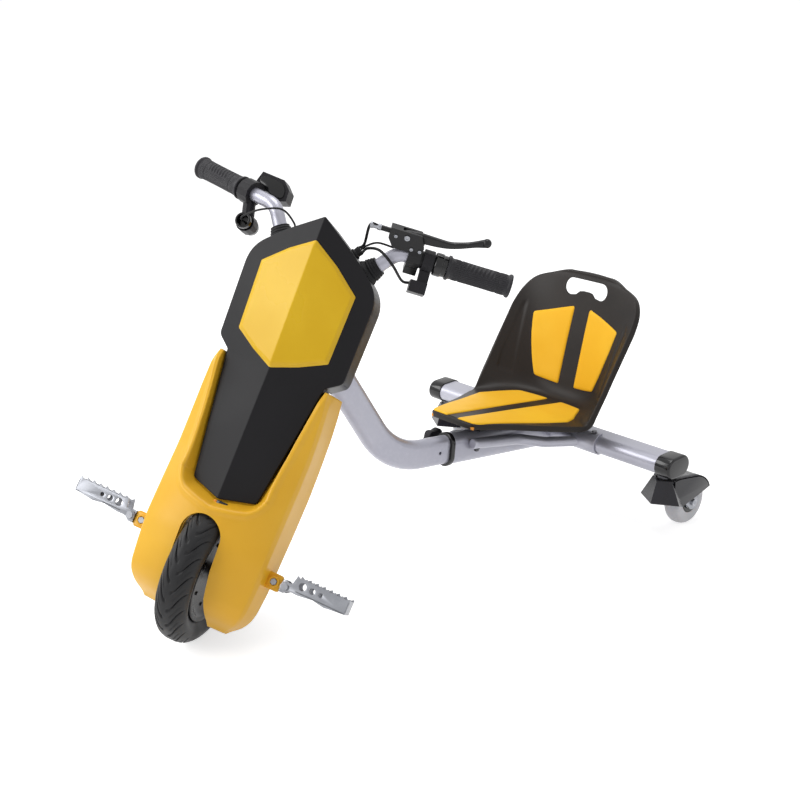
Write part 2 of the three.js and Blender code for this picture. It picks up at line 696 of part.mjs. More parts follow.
function handHole() {
  const half = seat.holeHalfWidth;
  const r = seat.holeRadius;
  const outline = [];
  for (let i = 0; i <= 8; i += 1) {
    const angle = -Math.PI / 2 + (Math.PI * i) / 8;
    outline.push([half - r + r * Math.cos(angle), r * Math.sin(angle)]);
  }
  for (let i = 0; i <= 8; i += 1) {
    const angle = Math.PI / 2 + (Math.PI * i) / 8;
    outline.push([-half + r + r * Math.cos(angle), r * Math.sin(angle)]);
  }
  outline.push([-half / 3, -r + seat.holeRise], [half / 3, -r + seat.holeRise]);
  const tool = prism(outline, seat.depth / 2);
  const start = vec(0, 0, seat.holeHeight);
  return seated(tool, start, vec(0, 1, 0), vec(-1, 0, 0));
}

const padTools = [];
for (const [sideName, side] of bySide) {
  for (const [name, shares] of [['back_pad', backPadShares], ['pan_pad', panPadShares]]) {
    const outline = padOutline(shares);
    piece(`${name}_${sideName}`, padSolid(outline, side, seat.padSunk, seat.padHeight - seat.padCrown, 0), finish.orange);
    padTools.push(padSolid(outline, side, seat.padSunk + seam, seat.padHeight, seam));
  }
}
piece('seat_shell', cut(seatShell(), handHole(), ...padTools), finish.black);

// Seat bracket: a top plate under the pan, two side webs and a foot that straddles the main tube

function seatBracket() {
  const panDrop = (forward) => seatPoint(placeAt(forward), 0).z - seat.sheet - seam;
  const ahead = seat.panFront - perch.startShare * seat.depth;
  const rear = ahead - perch.lengthShare * seat.depth;
  const frontTop = panDrop(ahead);
  const rearTop = panDrop(rear);
  const half = perch.width / 2;
  const under = perch.drop;
  const profile = (x0, x1, top0, top1, low0, low1) => loft([
    [vec(x0, -ahead, low0), vec(x1, -ahead, low0), vec(x1, -ahead, top0), vec(x0, -ahead, top0)],
    [vec(x0, -rear, low1), vec(x1, -rear, low1), vec(x1, -rear, top1), vec(x0, -rear, top1)],
  ]);
  const plate = profile(-half, half, frontTop - under, rearTop - under, frontTop - under - perch.sheet, rearTop - under - perch.sheet);
  const tubeTop = (forward) => onTube(forward).z + tube.height / 2 / Math.cos(slope) + seam;
  const foot = tube.width / 2 + perch.sheet;
  const webs = bySide.map(([, side]) => {
    const inner = side * (tube.width / 2 - perch.sheet);
    const outer = side * (tube.width / 2);
    const [x0, x1] = inner < outer ? [inner, outer] : [outer, inner];
    return profile(x0, x1, frontTop - under - perch.sheet / 2, rearTop - under - perch.sheet / 2, tubeTop(ahead), tubeTop(rear));
  });
  const base = profile(-foot, foot, tubeTop(ahead) + perch.sheet, tubeTop(rear) + perch.sheet, tubeTop(ahead), tubeTop(rear));
  return join(plate, base, ...webs);
}

// The place along the seat's rows where its middle line is a distance in front of the beam's axis.
function placeAt(forward) {
  let low = 0;
  let high = 5;
  for (let i = 0; i < 30; i += 1) {
    const middle = (low + high) / 2;
    if (seatPoint(middle, 0).y < -forward) low = middle;
    else high = middle;
  }
  return low;
}

piece('seat_bracket', seatBracket(), finish.black);

// Star knob: a lobed head and a clamp screw whose tip bears on the inner tube

function lengthKnob() {
  const outline = [];
  for (let i = 0; i < knob.sides; i += 1) {
    const angle = (2 * Math.PI * i) / knob.sides;
    const r = knob.radius - (knob.lobeDepth * (1 - Math.cos(knob.lobes * angle))) / 2;
    outline.push([r * Math.cos(angle), r * Math.sin(angle)]);
  }
  const outside = tube.width / 2 + seam;
  const head = moved(prism(outline, knob.thickness), 0, 0, outside + knob.shank);
  const boss = moved(rod(knob.radius / 3.6, knob.shank + knob.thickness / 2), 0, 0, outside);
  const tip = neck.width / 2 + seam;
  const screw = moved(rod(knob.screw, outside - tip + knob.shank, 12), 0, 0, tip);
  return seated(join(head, boss, screw), onTube(knob.back), vec(-1, 0, 0), AZ);
}

piece('length_knob', lengthKnob(), finish.black);

// Casters, each drawn about its own swivel axis

function swivelGeometry() {
  const beamFloor = beam.centreHeight - beam.height / 2;
  const washerTop = beamFloor - cap.wall - 2 * seam;
  const k = king;
  const headAt = beamFloor + beam.wall + seam;
  const nutTop = caster.plateTop - caster.plate - seam;
  return revolve([
    [0, nutTop - k.nutHeight], [k.nut, nutTop - k.nutHeight], [k.nut, nutTop], [k.bolt, nutTop],
    [k.bolt, caster.plateTop + seam], [k.washer, caster.plateTop + seam], [k.washer, washerTop],
    [k.bolt, washerTop], [k.bolt, headAt], [k.head, headAt], [k.head, headAt + k.headHeight],
    [0, headAt + k.headHeight],
  ]);
}

function forkPlateOutline() {
  const top = caster.plateTop;
  const eye = [];
  for (let i = 0; i <= 10; i += 1) {
    const angle = 0.35 * Math.PI - (1.2 * Math.PI * i) / 10;
    eye.push([caster.trail + caster.eyeRadius * Math.cos(angle), caster.radius + caster.eyeRadius * Math.sin(angle)]);
  }
  return [[-caster.forkFront, top], [-caster.forkFront, top - caster.forkFront], ...eye.reverse(), [caster.forkBack, top]];
}

function casterFork() {
  const sheet = caster.forkSheet;
  const plateTools = [caster.forkInner, -caster.forkInner - sheet].map((x) => (
    seated(prism(forkPlateOutline(), sheet), vec(x, 0, 0), AX, AY)
  ));
  const outer = caster.forkInner + sheet;
  const top = box(-outer, outer, -caster.forkFront, caster.forkBack, caster.plateTop - caster.plate, caster.plateTop);
  const kingBore = moved(rod(king.bolt + seam, overrun), 0, 0, caster.plateTop - overrun / 2);
  const axleBore = seated(rod(caster.bore, overrun * 4, 12), vec(-overrun * 2, caster.trail, caster.radius), AX, AZ);
  return cut(join(top, ...plateTools), kingBore, axleBore);
}

function casterWheel() {
  const c = caster;
  const half = c.width / 2;
  const profile = [[c.bore, -half], [c.hubRadius - c.hubDish, -half], [c.hubRadius, -half + c.hubDish], [c.radius - c.shoulder * 1.3, -half + c.hubDish / 2]];
  for (let i = 0; i <= 4; i += 1) {
    const angle = -Math.PI / 2 + (Math.PI * i) / 4;
    profile.push([c.radius - c.shoulder + c.shoulder * Math.cos(angle), (half - c.hubDish / 2) * Math.sin(angle)]);
  }
  profile.push([c.radius - c.shoulder * 1.3, half - c.hubDish / 2], [c.hubRadius, half - c.hubDish], [c.hubRadius - c.hubDish, half], [c.bore, half], [c.bore, -half]);
  return seated(revolve(profile, 18), vec(0, c.trail, c.radius), AX, AZ);
}

function casterAxle() {
  const c = caster;
  const outer = c.forkInner + c.forkSheet + seam;
  const end = outer + c.nutHeight;
  const parts = [moved(rod(c.axle, end * 2, 8), 0, 0, -end)];
  const nut = rod(c.nut, c.nutHeight - seam, c.nutSides);
  parts.push(moved(nut, 0, 0, outer), moved(nut, 0, 0, -end + seam));
  const gapWidth = c.forkInner - c.width / 2 - 2 * seam;
  const spacer = rod(c.spacer, gapWidth, 8);
  parts.push(moved(spacer, 0, 0, c.width / 2 + seam), moved(spacer, 0, 0, -c.width / 2 - seam - gapWidth));
  return seated(join(...parts), vec(0, c.trail, c.radius), AX, AZ);
}

// The fender's apron is a faceted skirt round the swivel; its guard is an arched strip over the wheel.
function fenderApron(grow, drop) {
  const f = fender;
  const lower = [
    [f.halfWidth, f.bottomBack, f.bottomHeight], [f.sideReach, -f.sideFront, f.rimHeight], [0, -f.prow, f.rimHeight],
    [-f.sideReach, -f.sideFront, f.rimHeight], [-f.halfWidth, f.bottomBack, f.bottomHeight],
  ];
  const base = lower.map(([x, y, z]) => {
    const span = Math.hypot(x, y);
    return vec(x * (1 + grow / span), y * (1 + grow / span), z - drop);
  });
  const angles = [48, -18, -90, -162, -228];
  const crown = angles.map((angle) => vec(
    (f.topRadius + grow) * Math.cos(radians(angle)), (f.topRadius + grow) * Math.sin(radians(angle)), f.top + grow,
  ));
  return loft([base, crown]);
}

function fenderGuard() {
  const f = fender;
  const arch = [
    [0, f.bottomHeight + f.wall], [f.bottomBack, f.bottomHeight], [f.underBack, f.underHeight], [f.tail, f.tailHeight],
    [f.tail - f.wall * 5, f.tailHeight + f.wall * 6], [f.crestBack + f.wall * 6, f.crest - f.wall],
    [f.crestBack, f.crest], [f.crestBack / 2, f.crest + f.wall], [f.topRadius / 2, f.top], [0, f.top],
  ];
  return seated(prism(arch, 2 * f.halfWidth), vec(-f.halfWidth, 0, 0), AX, AY);
}

// The room that the fork's two plates take inside the fender.
function forkSweep() {
  const outer = caster.forkInner + caster.forkSheet + seam;
  const shifts = [[seam, seam], [-seam, -seam], [-seam, seam]];
  return join(...shifts.map(([back, up]) => (
    seated(prism(forkPlateOutline().map(([y, z]) => [y + back, z + up]), 2 * outer), vec(-outer, 0, 0), AX, AY)
  )));
}

function casterFender() {
  const mouth = moved(rod(fender.mouth, overrun * 2), 0, 0, fender.top - overrun);
  const apronHollow = fenderApron(-fender.wall, overrun);
  const inside = fender.halfWidth - fender.wall;
  const wheelSpace = seated(rod(caster.radius + fender.wall, 2 * inside, 24), vec(-inside, caster.trail, caster.radius), AX, AZ);
  const below = box(-inside, inside, 0, fender.tail * 2, 0, caster.radius);
  const forkSpace = box(
    -caster.forkInner - caster.forkSheet - seam, caster.forkInner + caster.forkSheet + seam,
    -caster.forkFront - seam, caster.forkBack + seam, 0, caster.plateTop + seam,
  );
  return cut(join(fenderApron(0, 0), fenderGuard()), apronHollow, wheelSpace, below, mouth, forkSpace, forkSweep());
}

const casterParts = [
  ['caster_swivel', swivelGeometry(), finish.steel], ['caster_fork', casterFork(), finish.steel],
  ['caster_fender', casterFender(), finish.violet], ['caster_wheel', casterWheel(), finish.resin],
  ['caster_axle', casterAxle(), finish.steel],
];
for (const [name, geometry, material] of casterParts) {
  for (const [sideName, side] of bySide) {
    piece(`${name}_${sideName}`, geometry, material).position.x = side * casterOut;
  }
}

// Telescopic neck: a flat oval tube that slides in the main tube and bends up to the head tube

const axisUp = vec(0, 0, 1).applyQuaternion(column.quaternion);

function neckPath(steps) {
  const joinPoint = column.position.clone().addScaledVector(axisUp, neck.join);
  const upper = vec(0, -Math.cos(radians(neck.upperAngle)), Math.sin(radians(neck.upperAngle)));
  const ahead = tubeBack.clone().negate();
  const start = onTube(tube.front - neck.insertion);
  const gapAcross = joinPoint.clone().sub(start);
  const det = ahead.y * -upper.z + ahead.z * upper.y;
  const along = (gapAcross.y * -upper.z + gapAcross.z * upper.y) / det;
  const corner = start.clone().addScaledVector(ahead, along);
  const turn = ahead.angleTo(upper);
  const tangent = neck.bendRadius * Math.tan(turn / 2);
  const bendStart = corner.clone().addScaledVector(ahead, -tangent);
  const normal = vec(0, -ahead.z, ahead.y).multiplyScalar(-1);
  const points = [[start, ahead]];
  for (let i = 0; i <= steps; i += 1) {
    const angle = (turn * i) / steps;
    const point = bendStart.clone()
      .addScaledVector(ahead, neck.bendRadius * Math.sin(angle))
      .addScaledVector(normal, neck.bendRadius * (1 - Math.cos(angle)));
    const direction = ahead.clone().multiplyScalar(Math.cos(angle)).addScaledVector(normal, Math.sin(angle));
    points.push([point, direction]);
  }
  points.push([joinPoint, upper]);
  return points;
}

function planarTube(path, width, height, steps) {
  return loft(path.map(([point, direction]) => {
    const up = vec(0, -direction.z, direction.y);
    return oval(width, height, steps).map(([x, n]) => point.clone().addScaledVector(AX, x).addScaledVector(up, n));
  }));
}

function gooseneck() {
  const path = neckPath(6);
  const outer = planarTube(path, neck.width, neck.height, 6);
  const wider = path.map(([point, direction], i) => [
    i === 0 ? point.clone().addScaledVector(direction, -overrun) : point, direction,
  ]);
  const inner = planarTube(wider, neck.width - 2 * neck.wall, neck.height - 2 * neck.wall, 6);
  const head = moved(rod(headTube.radius + seam, headTube.length * 2, 24), 0, 0, headTube.bottom - headTube.length / 2);
  head.applyMatrix4(column.matrixWorld);
  const holes = [];
  for (let i = 0; i < pinHole.count; i += 1) {
    const at = onTube(pinHole.first - i * pinHole.pitch);
    holes.push(seated(rod(pinHole.radius, overrun * 2, 8), at.setX(seam), AX, AZ));
  }
  return cut(outer, inner, head, ...holes);
}

piece('gooseneck_tube', gooseneck(), finish.silver);

// Handlebar, in the steering frame: p to the left, q up the axis and m forward

const at = (p, q, m) => vec(p, -m, q);
const barKnee = at(bar.kneeOut, bar.kneeUp, bar.kneeForward);
const barEnd = at(bar.endOut, bar.endUp, bar.endForward);
const gripWay = barEnd.clone().sub(barKnee).normalize();

// The bar's own route at another radius also makes the holes that it passes through.
function barPipe(radius) {
  const half = [
    at(bar.flat, bar.height, bar.forward), at(bar.riseOut, bar.riseUp, bar.riseForward), barKnee, barEnd,
  ];
  const other = half.map((v) => vec(-v.x, v.y, v.z)).reverse();
  return pipe(rounded([...other, ...half], bar.bend), radius, 10, 26);
}

piece('handlebar', barPipe(bar.radius), finish.silver, front);

function clampGeometry() {
  const c = clamp;
  const steererBlock = moved(rod(c.radius, c.upper * 2 - 2 * seam), 0, 0, headTop + headset.height + 2 * seam);
  const low = bar.height - c.lower;
  const high = bar.height + c.upper;
  const aroundSteerer = headTop + headset.height + 2 * seam;
  const arm = box(-c.halfWidth, c.halfWidth, -bar.forward - c.ear, -fork.steerer, low, high);
  const clearHeadset = moved(rod(bored(headset.radius), aroundSteerer - low + seam), 0, 0, low - seam);
  const barBore = seated(rod(bored(bar.radius), c.halfWidth * 4), at(-c.halfWidth * 2, bar.height, bar.forward), AX, AZ);
  const steererBore = moved(rod(bored(fork.steerer), overrun * 4), 0, 0, low - overrun);
  return cut(join(steererBlock, arm), clearHeadset, barBore, steererBore);
}

piece('handlebar_clamp', clampGeometry(), finish.black, front);

// A place on the left grip's straight: s along the bar from its knee, h above it, t behind it
const leverUp = (() => {
  const guess = at(0, 0.785, 0.62);
  return guess.addScaledVector(gripWay, -guess.dot(gripWay)).normalize();
})();
const leverSide = new THREE.Vector3().crossVectors(gripWay, leverUp);

function onBar(s, h = 0, t = 0) {
  return barKnee.clone().addScaledVector(gripWay, s).addScaledVector(leverUp, h).addScaledVector(leverSide, t);
}

// Turns a geometry drawn as x along the bar, y up towards the lever, z across into place.
function inBarFrame(geometry) {
  const matrix = new THREE.Matrix4().makeBasis(gripWay, leverUp, leverSide).setPosition(barKnee);
  return geometry.clone().applyMatrix4(matrix);
}

const barLength = barEnd.distanceTo(barKnee);
const gripStart = barLength - grip.length + grip.cap;

function gripGeometry(startFlange) {
  const g = grip;
  const bore = bored(bar.radius);
  const profile = [[bore, 0], [startFlange, 0], [startFlange, g.flangeWidth], [g.radius, g.flangeWidth * 1.5]];
  const ribRun = (g.length - g.flangeWidth * 3) / g.ribs;
  for (let i = 0; i < g.ribs; i += 1) {
    const z = g.flangeWidth * 1.5 + ribRun * (i + 0.5);
    profile.push([g.radius, z], [g.radius - g.ribDepth, z + ribRun / 4], [g.radius, z + ribRun / 2]);
  }
  profile.push([g.flange - g.ribDepth, g.length - g.flangeWidth], [g.flange - g.ribDepth, g.length]);
  profile.push([0, g.length], [0, g.length - g.cap + seam], [bore, g.length - g.cap + seam], [bore, 0]);
  return inBarFrame(seated(revolve(profile), vec(gripStart, 0, 0), AX, AY));
}

piece('grip_left', gripGeometry(grip.flange), finish.rubber, front);
piece('throttle_grip', mirrorX(gripGeometry(grip.flange)), finish.rubber, front);

// Brake lever bracket with its clamp round the bar, and the lever in its jaw

const brake = {
  clampAt: 24, clampWidth: 20, clampRadius: 17, pivotAt: 5, pivotUp: 32, bodyStart: -22, bodyEnd: 34,
  bodyLow: 10, bodyHigh: 41, bodyHalf: 9, jawHalf: 4.6, pin: 2.6, barrel: 4.2, barrelLength: 14,
  lever: 8.2, kneeAt: 68, kneeUp: 37, tipAt: 121, tipUp: 57, leverThickness: 8.4, ball: 7, rootUp: 36, rootAt: 27,
  boxDrop: 24, boxHalf: 11,
};

function brakePerch() {
  const b = brake;
  const body = prism([
    [b.bodyStart, b.pivotUp - b.lever], [b.bodyStart + b.clampWidth / 2, b.bodyLow], [b.bodyEnd, b.bodyLow],
    [b.bodyEnd, b.pivotUp - b.lever - seam * 4], [b.bodyEnd - b.lever, b.bodyHigh], [b.bodyStart, b.bodyHigh],
  ], 2 * b.bodyHalf);
  const clampRing = seated(rod(b.clampRadius, b.clampWidth), vec(b.clampAt - b.clampWidth / 2, 0, 0), AX, AY);
  const barrel = seated(rod(b.barrel, b.barrelLength + b.lever, 12), vec(b.bodyStart - b.barrelLength, b.pivotUp, 0), AX, AY);
  const dropBox = box(
    b.clampAt - b.clampWidth / 2, b.clampAt + b.clampWidth / 2, -b.boxDrop, 0, -b.boxHalf, b.boxHalf,
  );
  const jaw = box(b.pivotAt - b.lever - 2 * seam, b.bodyEnd + overrun, b.bodyLow + b.lever, b.bodyHigh * 2, -b.jawHalf, b.jawHalf);
  const solid = join(moved(body, 0, 0, -b.bodyHalf), clampRing, barrel, dropBox);
  const pin = moved(rod(b.pin, 2 * b.bodyHalf, 12), b.pivotAt, b.pivotUp, -b.bodyHalf);
  return cut(inBarFrame(join(cut(solid, jaw), pin)), barPipe(bar.radius + 2 * seam));
}

function brakeLever() {
  const b = brake;
  const r = b.lever;
  const outline = [
    [b.pivotAt - r * 0.9, b.pivotUp + r * 0.3], [b.pivotAt - r * 0.6, b.pivotUp + r * 0.9], [b.pivotAt + r, b.pivotUp + r * 1.15],
    [b.rootAt, b.rootUp + r * 0.75], [b.kneeAt, b.kneeUp + r * 0.55],
    [(b.kneeAt + b.tipAt) / 2, (b.kneeUp + b.tipUp) / 2 + r * 0.3], [b.tipAt - r * 0.4, b.tipUp + r * 0.6],
    [b.tipAt + r * 0.4, b.tipUp + r * 0.5], [b.tipAt + r * 0.6, b.tipUp - r * 0.3], [b.tipAt, b.tipUp - r * 0.8],
    [(b.kneeAt + b.tipAt) / 2, (b.kneeUp + b.tipUp) / 2 - r * 0.8], [b.kneeAt, b.kneeUp - r * 0.75],
    [b.rootAt + r, b.rootUp - r * 1.1], [b.pivotAt + r, b.pivotUp - r * 0.8], [b.pivotAt - r * 0.5, b.pivotUp - r * 0.75],
  ];
  const body = moved(prism(outline, b.leverThickness), 0, 0, -b.leverThickness / 2);
  const ball = new THREE.SphereGeometry(b.ball, 8, 6).translate(b.tipAt, b.tipUp, 0);
  const bore = moved(rod(b.pin + seam, overrun, 12), b.pivotAt, b.pivotUp, -overrun / 2);
  return inBarFrame(cut(join(body, ball), bore));
}

piece('brake_perch', brakePerch(), finish.black, front);
piece('brake_lever', brakeLever(), finish.black, front);

// Switch box: a band clamp beside the brake bracket with a small box hanging under it

const pod = { at: 46, width: 16, radius: 18, boxFrom: 34, boxTo: 52, boxStart: -10, boxHalf: 12, button: 5, buttonTravel: 2.5 };

function podFrame(geometry) {
  const up = at(0.12, 1, -0.05).normalize();
  const z = up.clone().addScaledVector(gripWay, -up.dot(gripWay)).normalize();
  const y = new THREE.Vector3().crossVectors(z, gripWay);
  const matrix = new THREE.Matrix4().makeBasis(gripWay, y, z).setPosition(onBar(pod.at));
  return geometry.clone().applyMatrix4(matrix);
}

function switchBox() {
  const half = pod.width / 2;
  const band = seated(rod(pod.radius, pod.width), vec(-half, 0, 0), AX, AZ);
  const web = box(-half, half, -pod.boxHalf / 2, pod.boxHalf / 2, -pod.boxFrom - pod.buttonTravel, 0);
  const house = box(-half + pod.boxStart, half, -pod.boxHalf, pod.boxHalf, -pod.boxTo, -pod.boxFrom);
  const bore = seated(rod(bored(bar.radius), pod.width * 3), vec(-pod.width * 1.5, 0, 0), AX, AZ);
  const well = seated(rod(pod.button + seam, pod.boxHalf), vec(pod.boxStart / 2, pod.boxHalf - pod.buttonTravel * 3.2, -(pod.boxFrom + pod.boxTo) / 2), AY, AX);
  return podFrame(cut(join(band, web, house), bore, well));
}

function hornButton() {
  const start = vec(pod.boxStart / 2, pod.boxHalf - pod.buttonTravel * 2 + seam, -(pod.boxFrom + pod.boxTo) / 2);
  return podFrame(seated(rod(pod.button, pod.buttonTravel * 3), start, AY, AX));
}

piece('switch_box', switchBox(), finish.black, front);
piece('horn_button', hornButton(), finish.gloss, front);

// Throttle housing on the right: a collar round the bar, a hooded charge display and an arm to the key switch

const throttle = { collarAt: 48, collarWidth: 22, radius: 20, hoodThickness: 24 };
const key = { radius: 12.5, length: 46, wall: 2.5, slotRadius: 9.5, out: 147, up: 512, front: 78, plug: 7 };
const hoodPoints = { left: 165, leftUp: 584, top: 161, topUp: 600, right: 122, rightUp: 599, lobe: 108, lobeUp: 586, low: 106, lowUp: 568, chin: 118, chinUp: 564, front: 50, back: 22 };

function throttleSolid() {
  const h = hoodPoints;
  const t = throttle;
  const collarPart = mirrorX(inBarFrame(seated(rod(t.radius, t.collarWidth), vec(t.collarAt, 0, 0), AX, AY)));
  const outline = [
    [-h.left, h.leftUp - t.hoodThickness / 2], [-(h.left + h.chin) / 2, h.chinUp + t.hoodThickness / 3], [-h.chin, h.chinUp],
    [-h.low, h.lowUp], [-h.lobe, h.lobeUp], [-h.right, h.rightUp], [-h.top, h.topUp], [-h.left, h.leftUp],
  ];
  const ringOf = (m) => outline.map(([p, q]) => at(p, q, m));
  const hood = loft([ringOf(h.front), ringOf(h.back)]);
  const barPoint = onBar(t.collarAt + t.collarWidth / 2).setX(-onBar(t.collarAt + t.collarWidth / 2).x);
  const keyPoint = at(-key.out, key.up, key.front - key.length / 2);
  const arm = seated(rod(key.radius * 0.8, barPoint.distanceTo(keyPoint) + key.radius, 10), keyPoint, barPoint.clone().sub(keyPoint), AX);
  const sleeve = seated(rod(key.radius + key.wall, key.length * 0.5), at(-key.out, key.up, key.front - key.length * 0.75), vec(0, -1, 0), AX);
  const keyBore = seated(rod(bored(key.radius), key.length * 3), at(-key.out, key.up, -key.length), vec(0, -1, 0), AX);
  return cut(join(collarPart, hood, arm, sleeve), keyBore, barPipe(bar.radius + 2 * seam));
}

piece('throttle_housing', throttleSolid(), finish.black, front);

function keyBarrel() {
  const body = rod(key.radius, key.length, 16);
  const well = moved(rod(key.slotRadius, key.wall), 0, 0, key.length - key.wall);
  const plugBore = moved(rod(key.plug + seam, key.length / 2), 0, 0, -seam);
  const start = at(-key.out, key.up, key.front - key.length);
  return seated(cut(body, well, plugBore), start, vec(0, -1, 0), AX);
}

function keyPlug() {
  const plug = rod(key.plug, key.length / 2 - 3 * seam, 16);
  const slot = box(-key.plug / 2, key.plug / 2, -seam * 2, seam * 2, -overrun, key.wall);
  return seated(cut(plug, slot), at(-key.out, key.up, key.front - key.length), vec(0, -1, 0), AX);
}

piece('key_barrel', keyBarrel(), finish.black, front);
piece('key_plug', keyPlug(), finish.steel, front);

// Fairing: a roof-shaped front whose ridge runs down the middle

function ridgeAt(q) {
  const f = fairing;
  if (q > f.ridgeMidAt) return f.ridgeMid + ((f.ridgeTop - f.ridgeMid) * (q - f.ridgeMidAt)) / (f.ridgeTopAt - f.ridgeMidAt);
  return f.ridgeLow + ((f.ridgeMid - f.ridgeLow) * (q - f.ridgeLowAt)) / (f.ridgeMidAt - f.ridgeLowAt);
}

function tongueHalf(q) {
  const f = fairing;
  return f.tipHalf + ((f.neckHalf - f.tipHalf) * (q - f.tipAt)) / (f.neckAt - f.tipAt);
}

// A wedge with the fairing's roof as its front, lowered by a depth, and everything behind it.
function roofSolid(depth) {
  const f = fairing;
  const far = f.shoulder * 1.5;
  const rings = [f.ridgeLowAt - overrun, f.ridgeMidAt, f.ridgeTopAt + overrun].map((q) => {
    const m = ridgeAt(q) - depth;
    return [at(0, q, m), at(far, q, m - f.fall * far), at(far, q, -far), at(-far, q, -far), at(-far, q, m - f.fall * far)];
  });
  return loft(rings);
}

function coverOutline(inset) {
  const f = fairing;
  const half = [
    [0, f.ridgeTopAt - inset * 1.2], [f.shoulder / 2, (f.ridgeTopAt + f.shoulderAt) / 2 + inset], [f.shoulder - inset, f.shoulderAt - inset / 2],
    [f.jaw - inset, f.jawAt + inset / 3], [f.neckHalf - inset, f.neckAt + inset / 3], [f.tipHalf - inset, f.tipAt + inset / 2],
  ];
  half[1] = [f.shoulder * 0.55 - inset * 0.8, f.shoulderAt + (f.ridgeTopAt - f.shoulderAt) * 0.52 - inset];
  const low = [0, f.ridgeLowAt + inset];
  return [...half, low, ...half.slice(1).reverse().map(([p, q]) => [-p, q])];
}

// Extrudes an outline of [p, q] points through the whole depth of the fairing.
function depthPrism(outline, from, to) {
  return seated(prism(outline, to - from), vec(0, -from, 0), vec(0, -1, 0), AX);
}

// How far forward the pocket's floor is, a roof a little flatter than the fairing's.
function pocketFloor(p, q) {
  const s = shroud;
  return s.pocketRidge - (q - fairing.ridgeLowAt) * s.pocketLean - s.pocketFall * Math.abs(p);
}

// The pocket in the shroud, as rings up the axis: floor ridge, floor edge and mouth.
function pocketRing(q, lift, widen) {
  const s = shroud;
  const place = q + s.pocketGap;
  const tipRun = fairing.tipAt - fairing.ridgeLowAt;
  const half = place < fairing.tipAt ? ((place - fairing.ridgeLowAt) / tipRun) * fairing.tipHalf : tongueHalf(place);
  const edge = Math.max(half + widen, seam);
  const side = pocketFloor(edge, q) + lift;
  const mouth = edge + (s.pocketMouth - side) * s.pocketSlope;
  return [at(0, q, pocketFloor(0, q) + lift), at(edge, q, side), at(mouth, q, s.pocketMouth), at(-mouth, q, s.pocketMouth), at(-edge, q, side)];
}

function pocketSolid(lift, widen, low) {
  const s = shroud;
  const rings = low.map((q) => pocketRing(q, lift, widen));
  const drop = (s.pocketMouth - s.pocketRidge) * s.pocketSlope;
  const tip = [0, seam * 2, seam * 4, -seam * 4, -seam * 2].map((p) => at(p, low[0] - drop, s.pocketMouth - (p === 0 ? seam : 0)));
  return loft([tip, ...rings]);
}

const pocketHeights = [fairing.ridgeLowAt - shroud.pocketGap, fairing.tipAt - shroud.pocketGap, shroud.top + overrun];

function coverGeometry() {
  const f = fairing;
  const outer = common(roofSolid(0), depthPrism(coverOutline(0), -overrun, f.ridgeTop + overrun));
  const inner = common(roofSolid(f.wall), depthPrism(coverOutline(f.wall), -overrun * 2, f.ridgeTop + overrun));
  const far = f.shoulder * 2;
  const backPlane = loft([
    [at(-far, f.neckAt, -far), at(far, f.neckAt, -far), at(far, f.neckAt, headBack(f.neckAt)), at(-far, f.neckAt, headBack(f.neckAt))],
    [at(-far, f.ridgeTopAt * 1.2, -far), at(far, f.ridgeTopAt * 1.2, -far), at(far, f.ridgeTopAt * 1.2, headBack(f.ridgeTopAt * 1.2)), at(-far, f.ridgeTopAt * 1.2, headBack(f.ridgeTopAt * 1.2))],
  ]);
  const below = box(-far, far, -far, far, 0, f.neckAt);
  const tongueBack = cut(below, tongueKeep());
  return cut(outer, inner, backPlane, tongueBack);
}

const tongueLift = 0.8;

// Everything in front of the pocket's floor, with the gap that the tongue keeps to it.
function tongueKeep() {
  const far = fairing.shoulder * 2;
  const rings = [fairing.ridgeLowAt - overrun, fairing.neckAt + seam].map((q) => [
    at(0, q, pocketFloor(0, q) + tongueLift), at(far, q, pocketFloor(far, q) + tongueLift),
    at(far, q, far), at(-far, q, far), at(-far, q, pocketFloor(far, q) + tongueLift),
  ]);
  return loft(rings);
}

function headBack(q) {
  return fairing.backAtJaw + (q - fairing.backJawAt) * fairing.backSlope;
}

const coverOuter = coverGeometry();

const grommet = { p: 45, radius: 7.5, bore: 2, length: 12, m: 85 };

function facetQ(p) {
  const f = fairing;
  const midP = f.shoulder * 0.55;
  const midQ = f.shoulderAt + (f.ridgeTopAt - f.shoulderAt) * 0.52;
  if (p < midP) return f.ridgeTopAt + ((midQ - f.ridgeTopAt) * p) / midP;
  return midQ + ((f.shoulderAt - midQ) * (p - midP)) / (f.shoulder - midP);
}

function facetNormal(p) {
  const step = 1;
  return at(facetQ(p) - facetQ(p + step), step, 0).normalize();
}

function grommetTool(radius, start, length) {
  const n = facetNormal(grommet.p);
  const origin = at(grommet.p, facetQ(grommet.p), grommet.m).addScaledVector(n, start);
  return seated(rod(radius, length, 14), origin, n, AY);
}

piece('fairing_cover', cut(coverOuter, barPipe(bar.radius * 1.2), grommetTool(grommet.radius * 0.8, -overrun / 2, overrun)), finish.black, front);

